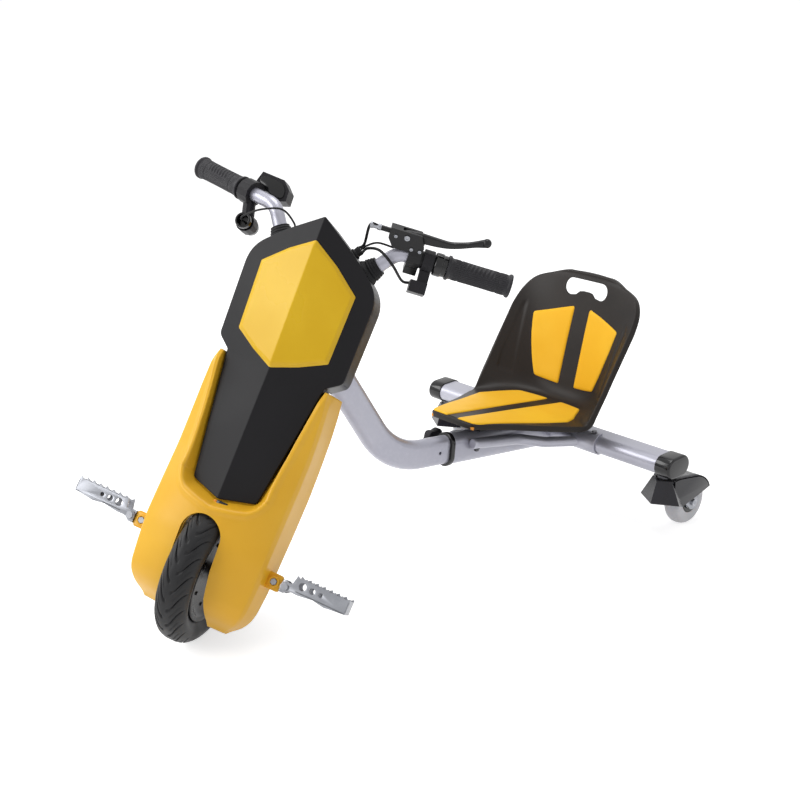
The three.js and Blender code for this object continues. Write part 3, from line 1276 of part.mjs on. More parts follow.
// The yellow badge is a raised hexagon that follows the roof, with a bevelled edge.
function badgeGeometry() {
  const b = badge;
  const tall = b.top - b.bottom;
  const upper = b.bottom + tall * b.upperShare;
  const lower = b.bottom + tall * b.lowerShare;
  const corners = [
    [0, b.top], [b.upperHalf / 2, upper + (b.top - upper) * b.upperBendShare], [b.upperHalf, upper],
    [b.lowerHalf, lower], [b.lowerHalf / 2, b.bottom + (lower - b.bottom) * b.lowerBendShare], [0, b.bottom],
  ];
  const inset = ([p, q], i) => {
    const share = p === 0 ? b.tipInsetShare : b.sideInsetShare;
    return [Math.max(p - b.bevel * Math.sign(p), 0), q - (i < corners.length / 2 ? 1 : -1) * b.bevel * share];
  };
  const onRoof = ([p, q], lift) => at(p, q, ridgeAt(q) - fairing.fall * Math.abs(p) + lift);
  const row = (points, lift) => points.map((c) => onRoof(c, lift));
  const small = corners.map(inset);
  const left = (points) => points.map(([p, q]) => [-p, q]);
  const spine = (points) => points.map(([, q]) => [0, q]);
  const face = [row(left(small), b.proud), row(spine(small), b.proud), row(small, b.proud)];
  const base = [row(left(corners), seam), row(spine(corners), seam), row(corners, seam)];
  return hexSolid(face, base);
}

// Joins a bevelled top and a base that share corner order; both are folded along the middle row.
function hexSolid(upper, lower) {
  const points = [];
  const ids = new Map();
  const id = (v) => {
    const name = v.toArray().map((c) => c.toFixed(4)).join();
    if (!ids.has(name)) {
      ids.set(name, points.length);
      points.push(v);
    }
    return ids.get(name);
  };
  const faces = [];
  const tri = (a, b, c) => {
    const [i, j, k] = [id(a), id(b), id(c)];
    if (i !== j && j !== k && i !== k) faces.push([i, j, k]);
  };
  const quad = (a, b, c, d) => {
    tri(a, b, c);
    tri(a, c, d);
  };
  for (let s = 0; s < 2; s += 1) {
    for (let i = 0; i + 1 < upper[0].length; i += 1) {
      quad(upper[s][i], upper[s][i + 1], upper[s + 1][i + 1], upper[s + 1][i]);
      quad(lower[s][i], lower[s + 1][i], lower[s + 1][i + 1], lower[s][i + 1]);
    }
  }
  for (let i = 0; i + 1 < upper[0].length; i += 1) {
    quad(upper[0][i], lower[0][i], lower[0][i + 1], upper[0][i + 1]);
    quad(upper[2][i], upper[2][i + 1], lower[2][i + 1], lower[2][i]);
  }
  return polyhedron(points, faces);
}

piece('fairing_panel', badgeGeometry(), finish.lemon, front);

// The plate that closes the fairing's back round the steering head
function fairingBack() {
  const f = fairing;
  const inset = f.wall + seam;
  const head = coverOutline(inset).filter(([, q]) => q > f.neckAt + f.wall);
  const half = f.backHalfSlot;
  const slot = [[-half, 0], [half, 0], [half, f.backSlotTop], [-half, f.backSlotTop]];
  const far = f.shoulder * 2;
  const ring = (q, lift) => at(0, q, headBack(q) + lift);
  const strip = (lift) => [f.neckAt - overrun, f.ridgeTopAt + overrun].map((q) => [ring(q, lift).setX(-far), ring(q, lift).setX(far)]);
  const plate = slab(strip(f.wall + seam), strip(seam));
  return cut(common(depthPrism(head, -overrun, f.ridgeTop), plate), depthPrism(slot, -overrun, f.ridgeTop));
}

piece('fairing_back', fairingBack(), finish.black, front);

// Battery pack on the back plate and motor controller on the steerer

const battery = { half: 52, low: 350, high: 438, thickness: 24 };

function batteryGeometry() {
  const f = fairing;
  const lift = f.wall + 2 * seam;
  const corner = (p, q, extra) => at(p, q, headBack(q) + lift + extra);
  const ring = (q) => [
    corner(-battery.half, q, 0), corner(battery.half, q, 0), corner(battery.half, q, battery.thickness), corner(-battery.half, q, battery.thickness),
  ];
  return loft([ring(battery.low), ring(battery.high)]);
}

const controller = { half: 30, low: 195, high: 285, thickness: 24 };

piece('battery_pack', batteryGeometry(), finish.violet, front);
piece('motor_controller', box(-controller.half, controller.half, -fork.steerer - seam - controller.thickness, -fork.steerer - seam, controller.low, controller.high), finish.steel, front);

// Rubber glands where the bar leaves the fairing

function glandGeometry() {
  const rise = at(bar.riseOut, bar.riseUp, bar.riseForward);
  const start = at(bar.flat, bar.height, bar.forward);
  const way = rise.clone().sub(start).normalize();
  const out = rise.clone();
  const body = revolve([[0, 0], [gland.radius, 0], [gland.radius, gland.length * 0.35], [gland.neck, gland.length], [0, gland.length]]);
  const placed = seated(body, out.addScaledVector(way, -gland.length * 0.25), way, AX);
  return cut(placed, barPipe(bar.radius + 2 * seam), coverBlock());
}

// The fairing as one filled solid, a seam larger, for cutting what stands on it.
function coverBlock() {
  const f = fairing;
  return common(roofSolid(-seam), depthPrism(coverOutline(-seam), -overrun, f.ridgeTop + overrun));
}

pair('bar_gland', glandGeometry(), finish.rubber, front);

function grommetGeometry() {
  const head = grommetTool(grommet.radius, seam, grommet.length);
  return cut(head, coverBlock(), barPipe(bar.radius + 2 * seam));
}

piece('cable_grommet', grommetGeometry(), finish.rubber, front);

// Shroud: the front face, its crease and the flared side wall, level by level up the axis.
// Each row is [height, crown, crease out, crease forward, back out, back forward].
const creaseTable = [
  [-80, 2, 84, -8, 90, -9],
  [-70, 22, 88, 6, 96, -9.5],
  [-55, 42, 94, 27, 102, -10],
  [-38, 54, 98, 37.5, 106, -10],
  [2, 70, 101, 44, 109, -10],
  [43, 79, 102, 52, 109, -10],
  [102, 90, 101.5, 54, 109, -10],
  [161, 88, 101, 54.5, 108, -10],
  [211, 90, 101, 60, 107, -4],
  [261, 92, 99.5, 70, 106, 6],
  [299, 93, 97, 79, 104, 16],
  [316, 90, 93, 72, 102, 22],
];

function shroudRing([q, crown, out, forward, backOut, back], inset, behind) {
  const half = [];
  for (const share of [0, 0.4, 0.75]) {
    half.push([out * share - (share > 0.7 ? inset / 2 : 0), forward + (crown - forward) * (1 - share * share) - inset]);
  }
  half.push([out - inset * 0.8, forward - inset * 0.8]);
  half.push([out - inset + 2, forward - (forward - back) * 0.12]);
  half.push([backOut - inset - 2, back + (forward - back) * 0.35]);
  half.push([backOut - inset, back - behind]);
  const ring = half.map(([p, m]) => at(p, q, m));
  return [...ring, ...half.slice(1).reverse().map(([p, m]) => at(-p, q, m))];
}

function shroudOuter(inset, behind, tall) {
  const rows = creaseTable.map((row, i) => {
    const copy = [...row];
    if (i === 0) copy[0] -= tall;
    if (i === creaseTable.length - 1) copy[0] += tall;
    return shroudRing(copy, inset, behind);
  });
  return loft(rows);
}

function archTool() {
  const s = shroud;
  const points = [];
  for (let i = 0; i <= 10; i += 1) {
    const angle = (Math.PI * i) / 10;
    points.push([s.archHalf * Math.cos(angle), s.archTop - s.archHalf + s.archHalf * Math.sin(angle)]);
  }
  points.push([-s.archHalf - 2, 0], [-s.archHalf - 10, -40], [-s.archFlare, s.bottom], [-s.archFlare, s.bottom - overrun]);
  points.push([s.archFlare, s.bottom - overrun], [s.archFlare, s.bottom], [s.archHalf + 10, -40], [s.archHalf + 2, 0]);
  return depthPrism(points, -overrun * 3, fairing.ridgeTop);
}

function earGeometry() {
  const s = shroud;
  const mid = (s.earLow + s.earHigh) / 2;
  const plate = box(s.halfWidth - s.wall, s.earReach, -s.earForward, -s.earForward + s.earThickness, s.earLow, s.earHigh);
  const boss = seated(ringTube(s.bossRadius, s.bossRadius * 0.6, s.wall), vec((s.halfWidth + s.earReach) / 2 + 2 * s.wall / 3, -s.earForward + seam, mid), vec(0, -1, 0), AX);
  return [plate, boss];
}

function shroudGeometry() {
  const s = shroud;
  const outer = shroudOuter(0, 0, 0);
  const inner = shroudOuter(s.wall, overrun, overrun);
  const flange = common(pocketSolid(-s.wall, s.wall, pocketHeights), outer);
  const [plate, boss] = earGeometry();
  let body = join(cut(outer, inner), flange);
  body = cut(body, pocketSolid(0, seam * 2, pocketHeights), archTool());
  const window = [];
  const low = fairing.tipAt + s.ledge;
  const high = s.top + overrun;
  for (const [q, sign] of [[low, 1], [high, 1], [high, -1], [low, -1]]) window.push([sign * (tongueHalf(q) - s.ledge), q]);
  body = cut(body, depthPrism(window, -overrun, s.pocketMouth));
  return join(body, plate, boss, mirrorX(plate), mirrorX(boss));
}

// Footpegs: a stamped channel with a toothed top edge, hinged on a sheet bracket that runs in to the fork

function pegBracket() {
  const g = peg;
  const s = shroud;
  const behindEar = -s.earForward + s.earThickness + seam;
  const inner = fork.legInner + fork.legThickness + seam;
  const mid = g.pivotHeight;
  const halfHeight = g.forward + seam * 2;
  const cheekStart = s.earReach + 2 * seam;
  const strap = box(inner, cheekStart + g.sheet / 2, behindEar, behindEar + g.sheet * 1.5, mid - halfHeight, mid + halfHeight);
  const cheek = prism([
    [cheekStart, mid - halfHeight], [g.pivot, mid - halfHeight], [g.pivot + g.fork * 0.8, mid - halfHeight / 2],
    [g.pivot + g.fork * 0.8, mid + halfHeight / 2], [g.pivot, mid + halfHeight], [cheekStart, mid + halfHeight],
  ], g.sheet);
  const outer = g.halfDepth - g.sheet - seam;
  const cheeks = [g.forward + outer - g.sheet, g.forward - outer].map((m) => seated(cheek, vec(0, -m, 0), vec(0, -1, 0), AX));
  const web = box(cheekStart, cheekStart + g.sheet, -g.forward - outer, -g.forward + outer, mid - halfHeight, mid + halfHeight);
  const pin = seated(rod(g.pin, 2 * (g.halfDepth + g.sheet), 8), vec(g.pivot, -g.forward - g.halfDepth - g.sheet, mid), vec(0, 1, 0), AX);
  const head = seated(rod(g.pin * 1.8, g.sheet, 8), vec(g.pivot, -g.forward - g.halfDepth - g.sheet - seam, mid), vec(0, 1, 0), AX);
  const tail = seated(rod(g.pin * 1.8, g.sheet, 8), vec(g.pivot, -g.forward + g.halfDepth + seam, mid), vec(0, 1, 0), AX);
  const bolt = seated(rod(g.pin * 1.6, g.sheet * 1.4, 6), vec((s.halfWidth + s.earReach) / 2 + 2 * s.wall / 3, -s.earForward - seam - g.sheet * 1.4, mid), vec(0, 1, 0), AX);
  const stud = seated(rod(g.pin, g.sheet * 4, 8), vec((s.halfWidth + s.earReach) / 2 + 2 * s.wall / 3, -s.earForward - seam, mid), vec(0, 1, 0), AX);
  return join(strap, ...cheeks, web, pin, head, tail, bolt, stud);
}

function pegSide() {
  const g = peg;
  const points = [[g.pivot - g.fork, g.low + g.toothDepth], [g.pivot - g.fork * 0.8, g.pivotHeight + g.fork * 0.8], [g.start, g.pivotHeight + g.fork * 1.1]];
  const toothRun = (g.end - g.start - g.fork) / g.teeth;
  points.push([g.start + g.fork / 2, g.high + g.toothDepth]);
  for (let i = 0; i < g.teeth; i += 1) {
    const x = g.start + g.fork + toothRun * i;
    points.push([x + toothRun * 0.1, g.high], [x + toothRun * 0.5, g.high], [x + toothRun * 0.9, g.high + g.toothDepth]);
  }
  points.push([g.end, g.high + g.toothDepth / 2], [g.end, g.low + g.toothDepth]);
  points.push([(g.start + g.end) / 2 + g.fork * 2, g.low], [(g.start + g.end) / 2 - g.fork, g.low + g.toothDepth], [g.start + g.fork, g.low]);
  return points;
}

function pegGeometry() {
  const g = peg;
  const side = prism(pegSide(), g.sheet);
  const sides = [g.forward + g.halfDepth - g.sheet, g.forward - g.halfDepth].map((m) => seated(side, vec(0, -m, 0), vec(0, -1, 0), AX));
  const web = box(g.start + g.fork, g.end, -g.forward - g.halfDepth, -g.forward + g.halfDepth, g.low + g.toothDepth, g.low + g.toothDepth + g.sheet);
  const flange = box(g.end - g.sheet, g.end, -g.forward - g.halfDepth, -g.forward + g.halfDepth, g.low + g.toothDepth, g.high);
  const tools = [];
  for (let i = 0; i < 3; i += 1) {
    const x = g.start + g.fork * (1.6 + 1.9 * i);
    tools.push(seated(rod(g.pin * (1.35 - 0.28 * i), overrun * 2, 6), vec(x, -overrun - g.forward, (g.low + g.high) / 2 + g.pin), AY, AX));
  }
  tools.push(seated(rod(g.pin + 2 * seam, overrun * 2, 8), vec(g.pivot, -overrun - g.forward, g.pivotHeight), AY, AX));
  return cut(join(...sides, web, flange), ...tools);
}

function pegClear() {
  const g = peg;
  const s = shroud;
  const behindEar = -s.earForward + s.earThickness;
  const slot = box(s.halfWidth - s.wall * 6, s.earReach, behindEar, behindEar + g.sheet * 2 + seam, g.pivotHeight - g.forward - seam * 3, g.pivotHeight + g.forward + seam * 3);
  const stud = seated(rod(g.pin + 2 * seam, overrun, 8), vec((s.halfWidth + s.earReach) / 2 + 2 * s.wall / 3, -s.earForward - overrun / 2, g.pivotHeight), AY, AX);
  return [slot, stud];
}

const earClear = pegClear();
piece('front_shroud', cut(shroudGeometry(), ...earClear, ...earClear.map(mirrorX)), finish.yellow, front);
pair('peg_bracket', pegBracket(), finish.steel, front);
pair('peg', pegGeometry(), finish.steel, front);

// Cables from the controls to the grommet in the fairing's top, and the key switch lead on the right

function cable(name, points, radius, steps) {
  const curve = new THREE.CatmullRomCurve3(points);
  piece(name, pipe(curve, radius, 6, steps), finish.rubber, front);
}

const grommetMouth = grommetTool(seam, grommet.length, seam);
grommetMouth.computeBoundingSphere();
const mouthPoint = grommetMouth.boundingSphere.center.clone();
const mouthWay = facetNormal(grommet.p);
const mouthAcross = new THREE.Vector3().crossVectors(mouthWay, AY).normalize();

function fromMouth(across, out) {
  return mouthPoint.clone().addScaledVector(mouthAcross, across).addScaledVector(mouthWay, out + seam);
}

const cord = {
  radius: 2.2, thin: 1.6, spread: 4.6, leave: 9, arriveBrake: 16, arriveSensor: 20, arriveSwitch: 9,
  bendOut: 84, bendUp: 541, bendAhead: 101, lowOut: 110, lowUp: 528, lowAhead: 99,
};
const barrelTip = onBar(brake.bodyStart - brake.barrelLength - seam * 2, brake.pivotUp);
const cableGap = 3 * seam;
const perchEnd = onBar(brake.bodyStart + brake.lever, brake.bodyLow + 2 * cord.radius - brake.lever);

cable('brake_cable', [
  fromMouth(cord.spread, cableGap), fromMouth(cord.spread, cord.leave),
  barrelTip.clone().addScaledVector(gripWay, -cord.arriveBrake), barrelTip,
], cord.radius, 10);
cable('brake_sensor_cable', [
  fromMouth(0, cableGap), fromMouth(0, cord.leave),
  perchEnd.clone().addScaledVector(gripWay, -cord.arriveSensor), perchEnd,
], cord.thin, 9);
const podMouth = onBar(pod.at - pod.width / 2 + pod.boxStart - 1, -(pod.boxFrom + pod.boxTo) / 2, 0);
cable('switch_cable', [
  fromMouth(-cord.spread, cableGap), fromMouth(-cord.spread, cord.leave), at(cord.bendOut, cord.bendUp, cord.bendAhead),
  at(cord.lowOut, cord.lowUp, cord.lowAhead), podMouth.clone().addScaledVector(gripWay, -cord.arriveSwitch), podMouth,
], cord.radius, 15);

// The key switch lead leaves the barrel's front well and enters the fairing's right top facet.
const lead = { rise: 6, nose: 14, loopOut: 110, loopUp: 545, loopAhead: 112, topOut: 78, topUp: 560, topAhead: 116, entry: 50, entryAhead: 108 };
const leadNormal = facetNormal(lead.entry);
leadNormal.x *= -1;
const leadEntry = at(-lead.entry, facetQ(lead.entry), lead.entryAhead);
cable('throttle_cable', [
  at(-key.out, key.up, key.front - key.wall + 2 * seam),
  at(-key.out, key.up, key.front + lead.rise),
  at(-key.out + lead.rise, key.up + lead.rise, key.front + lead.nose),
  at(-lead.loopOut, lead.loopUp, lead.loopAhead),
  at(-lead.topOut, lead.topUp, lead.topAhead),
  leadEntry.clone().addScaledVector(leadNormal, lead.nose),
  leadEntry.clone().addScaledVector(leadNormal, 2 * seam),
], cord.thin, 14);

// The origin is the middle of the footprint on the floor.
trike.updateMatrixWorld(true);
const whole = new THREE.Box3().setFromObject(trike, true);
const middle = whole.getCenter(vec(0, 0, 0));
trike.position.set(-middle.x, -middle.y, -whole.min.z);

export default trike;
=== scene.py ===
# %% [markdown]
# # A three-wheeled drift scooter, dressed for its portrait
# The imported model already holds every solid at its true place. This lesson keeps that frame and makes the
# surfaces finer: rounded mouldings, a cut tread, soft pads and finishes with grain and wear.
# Local sizes are in millimetres and become metres where a form is placed.

# %% Load the frame
import json
import math

import bmesh
import bpy
import numpy as np
from mathutils import Matrix, Vector


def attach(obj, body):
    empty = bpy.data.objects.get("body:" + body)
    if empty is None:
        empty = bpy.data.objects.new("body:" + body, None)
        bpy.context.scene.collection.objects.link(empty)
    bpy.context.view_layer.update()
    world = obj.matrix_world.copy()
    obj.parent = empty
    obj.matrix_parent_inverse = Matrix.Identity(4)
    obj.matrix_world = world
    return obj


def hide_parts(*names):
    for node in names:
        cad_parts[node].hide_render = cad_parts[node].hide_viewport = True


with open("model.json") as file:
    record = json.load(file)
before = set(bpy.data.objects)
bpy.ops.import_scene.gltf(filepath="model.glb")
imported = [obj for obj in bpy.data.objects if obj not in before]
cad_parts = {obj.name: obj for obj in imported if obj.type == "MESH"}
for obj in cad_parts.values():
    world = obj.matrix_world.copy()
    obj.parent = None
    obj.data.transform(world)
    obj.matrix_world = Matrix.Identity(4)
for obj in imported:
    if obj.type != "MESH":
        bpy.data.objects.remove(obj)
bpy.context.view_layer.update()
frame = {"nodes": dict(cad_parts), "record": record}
nodes = frame["nodes"]

# %% [markdown]
# The camera comes first, because every later choice is judged through it. It stands to the front left of
# the machine and a little above it. Its place was worked out from pairs of matching points on the
# machine's two sides, and its lens from the way those pairs draw together with distance.

# %% The camera
scene = bpy.context.scene
LENS = 63.0
SENSOR = 36.0
TURN_ROUND = math.radians(47.9)
LOOK_DOWN = math.radians(20.6)
ROLL = math.radians(-1.7)
CAMERA_PLACE = Vector((1.6451, -1.475892, 1.1215))


def camera_axes():
    """Back, right and up of the camera from its turn round the object, its height and its roll."""
    back = Vector((math.sin(TURN_ROUND) * math.cos(LOOK_DOWN), -math.cos(TURN_ROUND) * math.cos(LOOK_DOWN),
        math.sin(LOOK_DOWN)))
    level = Vector((math.cos(TURN_ROUND), math.sin(TURN_ROUND), 0.0))
    up = back.cross(level)
    return back, math.cos(ROLL) * level + math.sin(ROLL) * up, math.cos(ROLL) * up - math.sin(ROLL) * level


camera_data = bpy.data.cameras.new("portrait_camera")
camera_data.lens = LENS
camera_data.sensor_width = SENSOR
camera = bpy.data.objects.new("portrait_camera", camera_data)
scene.collection.objects.link(camera)
look_back, look_right, look_up = camera_axes()
turned = Matrix((look_right, look_up, look_back)).transposed().to_4x4()
camera.matrix_world = Matrix.Translation(CAMERA_PLACE) @ turned
scene.camera = camera
print("camera stands at", tuple(round(v, 3) for v in CAMERA_PLACE), "lens", LENS)

# %% [markdown]
# The stage is a pale floor in an even white room. The floor and the world show white to the camera and to
# mirror rays, while the light that reaches the machine stays plain, so a colour renders about as written.

# %% The world
WORLD_LIGHT = 0.42
FLOOR_GLOW = 0.62
world = bpy.data.worlds.new("plain_room")
scene.world = world
world.use_nodes = True


def node(tree, kind, place=(0, 0), **values):
    """Adds one shader node; values set its properties, or its inputs where the name starts with a capital."""
    made = tree.nodes.new(kind)
    made.location = place
    for name, value in values.items():
        if name[0].isupper() and name.replace("_", " ") in made.inputs:
            made.inputs[name.replace("_", " ")].default_value = value
        else:
            setattr(made, name, value)
    return made


def times(tree, a, b, place, operation="MULTIPLY"):
    """Joins two values, each a socket or a number, by one operation."""
    made = node(tree, "ShaderNodeMath", place, operation=operation)
    for at, value in ((0, a), (1, b)):
        if isinstance(value, (int, float)):
            made.inputs[at].default_value = value
        else:
            tree.links.new(value, made.inputs[at])
    return made.outputs[0]


def seen_white(tree, sees):
    """Mask that is 1 for camera, mirror and see-through rays."""
    path = node(tree, "ShaderNodeLightPath", (-900, 300))
    first = node(tree, "ShaderNodeMath", (-650, 300), operation="MAXIMUM")
    second = node(tree, "ShaderNodeMath", (-450, 300), operation="MAXIMUM")
    tree.links.new(path.outputs["Is Camera Ray"], first.inputs[0])
    tree.links.new(path.outputs[sees], first.inputs[1])
    tree.links.new(first.outputs[0], second.inputs[0])
    tree.links.new(path.outputs["Is Transmission Ray"], second.inputs[1])
    return second.outputs[0]


def dress_world():
    """White to the eye, a soft grey light to the object."""
    tree = world.node_tree
    tree.nodes.clear()
    out = node(tree, "ShaderNodeOutputWorld", (300, 0))
    light = node(tree, "ShaderNodeBackground", (-200, -100), Color=(1, 1, 1, 1), Strength=WORLD_LIGHT)
    white = node(tree, "ShaderNodeBackground", (-200, 100), Color=(1, 1, 1, 1), Strength=1.0)
    mix = node(tree, "ShaderNodeMixShader", (60, 0))
    tree.links.new(seen_white(tree, "Is Glossy Ray"), mix.inputs[0])
    tree.links.new(light.outputs[0], mix.inputs[1])
    tree.links.new(white.outputs[0], mix.inputs[2])
    tree.links.new(mix.outputs[0], out.inputs[0])


dress_world()
print("world light", WORLD_LIGHT)

# %% [markdown]
# A studio shot is lit by soft boxes. Each is a square area lamp: its size sets how soft the shadow is,
# and its power stays plain, so that a colour renders about as it is written.

# %% Lamps
def lamp(name, place, aim, size, power):
    """A square soft box at a place, facing the aim point."""
    data = bpy.data.lights.new(name, "AREA")
    data.shape = "SQUARE"
    data.size = size
    data.energy = power
    made = bpy.data.objects.new(name, data)
    scene.collection.objects.link(made)
    made.location = place
    made.rotation_euler = (Vector(aim) - Vector(place)).to_track_quat("-Z", "Y").to_euler()


lamp("key_box", (-1.0, -3.0, 1.8), (0.1, -0.5, 0.35), 1.7, 39.0)
lamp("left_box", (-1.7, -1.2, 1.8), (0.0, 0.3, 0.4), 1.2, 21.0)
lamp("top_box", (-0.2, 0.5, 2.8), (0.0, 0.0, 0.3), 1.6, 27.0)
lamp("side_box", (2.6, 0.3, 1.3), (0.0, 0.0, 0.3), 1.6, 5.0)

scene.view_settings.view_transform = "Standard"

# %% [markdown]
# The scooter stands on white paper that shows only a soft shadow. A glow that the eye sees makes the
# paper white, and a plain diffuse surface under it keeps the shadow.

# %% Floor
def floor_finish():
    """A white floor that keeps the shadow: plain diffuse under a soft white glow."""
    made = bpy.data.materials.new("pale_floor")
    made.use_nodes = True
    tree = made.node_tree
    tree.nodes.clear()
    out = node(tree, "ShaderNodeOutputMaterial", (500, 0))
    paint = node(tree, "ShaderNodeBsdfDiffuse", (-100, -100), Color=(0.93, 0.93, 0.93, 1))
    glow = node(tree, "ShaderNodeEmission", (-100, 100), Color=(1, 1, 1, 1))
    tree.links.new(times(tree, seen_white(tree, "Is Glossy Ray"), FLOOR_GLOW, (-300, 300)),
        glow.inputs["Strength"])
    both = node(tree, "ShaderNodeAddShader", (250, 0))
    tree.links.new(paint.outputs[0], both.inputs[0])
    tree.links.new(glow.outputs[0], both.inputs[1])
    tree.links.new(both.outputs[0], out.inputs["Surface"])
    return made


bpy.ops.mesh.primitive_plane_add(size=60, location=(0, 0, 0))
floor = bpy.context.active_object
floor.name = "floor"
floor.data.materials.append(floor_finish())

# %% [markdown]
# Real surfaces are never one flat colour. Three small effects are shared by nearly every finish here: a
# fine grain, broad uneven patches, and wear that shows first along edges. Each is built once as a node
# group and placed in a finish with its own values.

# %% Helpers for the shared effects


def effect_group(name, numbers, results):
    """An empty shader node group with named number inputs and named number outputs."""
    group = bpy.data.node_groups.new(name, "ShaderNodeTree")
    group.interface.new_socket("Place", in_out="INPUT", socket_type="NodeSocketVector")
    for label, value in numbers.items():
        socket = group.interface.new_socket(label, in_out="INPUT", socket_type="NodeSocketFloat")
        socket.default_value = value
    for label in results:
        group.interface.new_socket(label, in_out="OUTPUT", socket_type="NodeSocketFloat")
    return group, node(group, "NodeGroupInput", (-900, 0)), node(group, "NodeGroupOutput", (700, 0))


def between(tree, source, low, high, place, to_low=0.0, to_high=1.0):
    """Stretches a value from low..high to 0..1, or to two other ends."""
    made = node(tree, "ShaderNodeMapRange", place, interpolation_type="SMOOTHSTEP")
    tree.links.new(source, made.inputs[0])
    for at, value in ((1, low), (2, high), (3, to_low), (4, to_high)):
        made.inputs[at].default_value = value
    return made.outputs[0]


def noise(tree, place_socket, scale, detail, place):
    """Soft noise whose size comes from a socket or a number."""
    made = node(tree, "ShaderNodeTexNoise", place, Detail=detail)
    tree.links.new(place_socket, made.inputs["Vector"])
    if isinstance(scale, (int, float)):
        made.inputs["Scale"].default_value = scale
    else:
        tree.links.new(scale, made.inputs["Scale"])
    return made.outputs["Fac"]


print("group helpers ready")

# %% [markdown]
# Three effects recur on moulded and painted pieces: fine grain, broad uneven patches and edges rubbed by
# use. Each is built once as a group and then gets its values in each finish.

# %% Grain, patches and worn edges
def build_grain():
    """Moulded grain: small pits from Voronoi cells over fine noise."""
    group, given, out = effect_group("moulded_grain", {"Scale": 900.0, "Softness": 0.5}, ["Height"])
    cells = node(group, "ShaderNodeTexVoronoi", (-500, 100), feature="SMOOTH_F1")
    group.links.new(given.outputs["Place"], cells.inputs["Vector"])
    group.links.new(given.outputs["Scale"], cells.inputs["Scale"])
    fine = noise(group, given.outputs["Place"], given.outputs["Scale"], 3.0, (-500, -200))
    soft = times(group, fine, given.outputs["Softness"], (-200, -200))
    group.links.new(times(group, cells.outputs["Distance"], soft, (200, 0), "ADD"), out.inputs["Height"])
    return group


def build_patches():
    """Broad uneven patches for colour and gloss, 0 to 1."""
    group, given, out = effect_group("uneven_patches", {"Scale": 14.0, "Contrast": 0.5}, ["Patch", "Speckle"])
    broad = noise(group, given.outputs["Place"], given.outputs["Scale"], 5.0, (-500, 100))
    group.links.new(between(group, broad, 0.3, 0.7, (-200, 100)), out.inputs["Patch"])
    fine = times(group, given.outputs["Scale"], 22.0, (-700, -200))
    speck = noise(group, given.outputs["Place"], fine, 2.0, (-500, -200))
    speck = between(group, speck, 0.42, 0.74, (-200, -200))
    group.links.new(times(group, speck, given.outputs["Contrast"], (200, -200)), out.inputs["Speckle"])
    return group


def build_wear():
    """Wear along edges: how sharply the surface bends, broken up by noise."""
    group, given, out = effect_group("worn_edges", {"Reach": 0.53, "Amount": 0.6, "Scale": 60.0}, ["Mask"])
    form = node(group, "ShaderNodeNewGeometry", (-700, 200))
    edge = times(group, form.outputs["Pointiness"], given.outputs["Reach"], (-400, 200), "SUBTRACT")
    edge = between(group, edge, 0.0, 0.06, (-200, 200))
    broken = noise(group, given.outputs["Place"], given.outputs["Scale"], 6.0, (-500, -200))
    broken = between(group, broken, 0.35, 0.62, (-200, -200))
    mask = times(group, edge, broken, (100, 0))
    group.links.new(times(group, mask, given.outputs["Amount"], (300, 0)), out.inputs["Mask"])
    return group


GRAIN = build_grain()
PATCHES = build_patches()
WEAR = build_wear()
print("effects:", GRAIN.name, PATCHES.name, WEAR.name)

# %% [markdown]
# A finish is one Principled surface. Its colour drifts between two close shades, its edges are rubbed
# lighter, its gloss is uneven, and its grain lifts the surface by a few hundredths of a millimetre. The
# recipe is the same each time; the numbers are what make it paint, plastic, rubber or steel.

# %% Colour helpers
FINISHES = {}


def linear(code):
    """A colour from its written hex code, as the linear numbers that a shader reads."""
    parts = [int(code[i:i + 2], 16) / 255 for i in (1, 3, 5)]
    return tuple(c / 12.92 if c <= 0.04045 else ((c + 0.055) / 1.055) ** 2.4 for c in parts) + (1.0,)


def blend_colour(tree, share, a, b, place):
    """Colour that goes from a to b by a share; a and b are sockets or colours."""
    made = node(tree, "ShaderNodeMix", place, data_type="RGBA")
    tree.links.new(share, made.inputs[0])
    for at, value in ((6, a), (7, b)):
        if isinstance(value, tuple):
            made.inputs[at].default_value = value
        else:
            tree.links.new(value, made.inputs[at])
    return made.outputs[2]


def use_group(tree, group, vector, place, **values):
    """Places a shared effect in a finish with its own values."""
    made = node(tree, "ShaderNodeGroup", place, node_tree=group)
    tree.links.new(vector, made.inputs["Place"])
    for name, value in values.items():
        made.inputs[name].default_value = value
    return made


print("colour helpers ready")

# %% [markdown]
# One recipe makes every finish, so that two pieces of the same stuff can't drift apart. Numbers that are
# the same all over sit on the surface's own sockets, and only what varies comes from the groups.

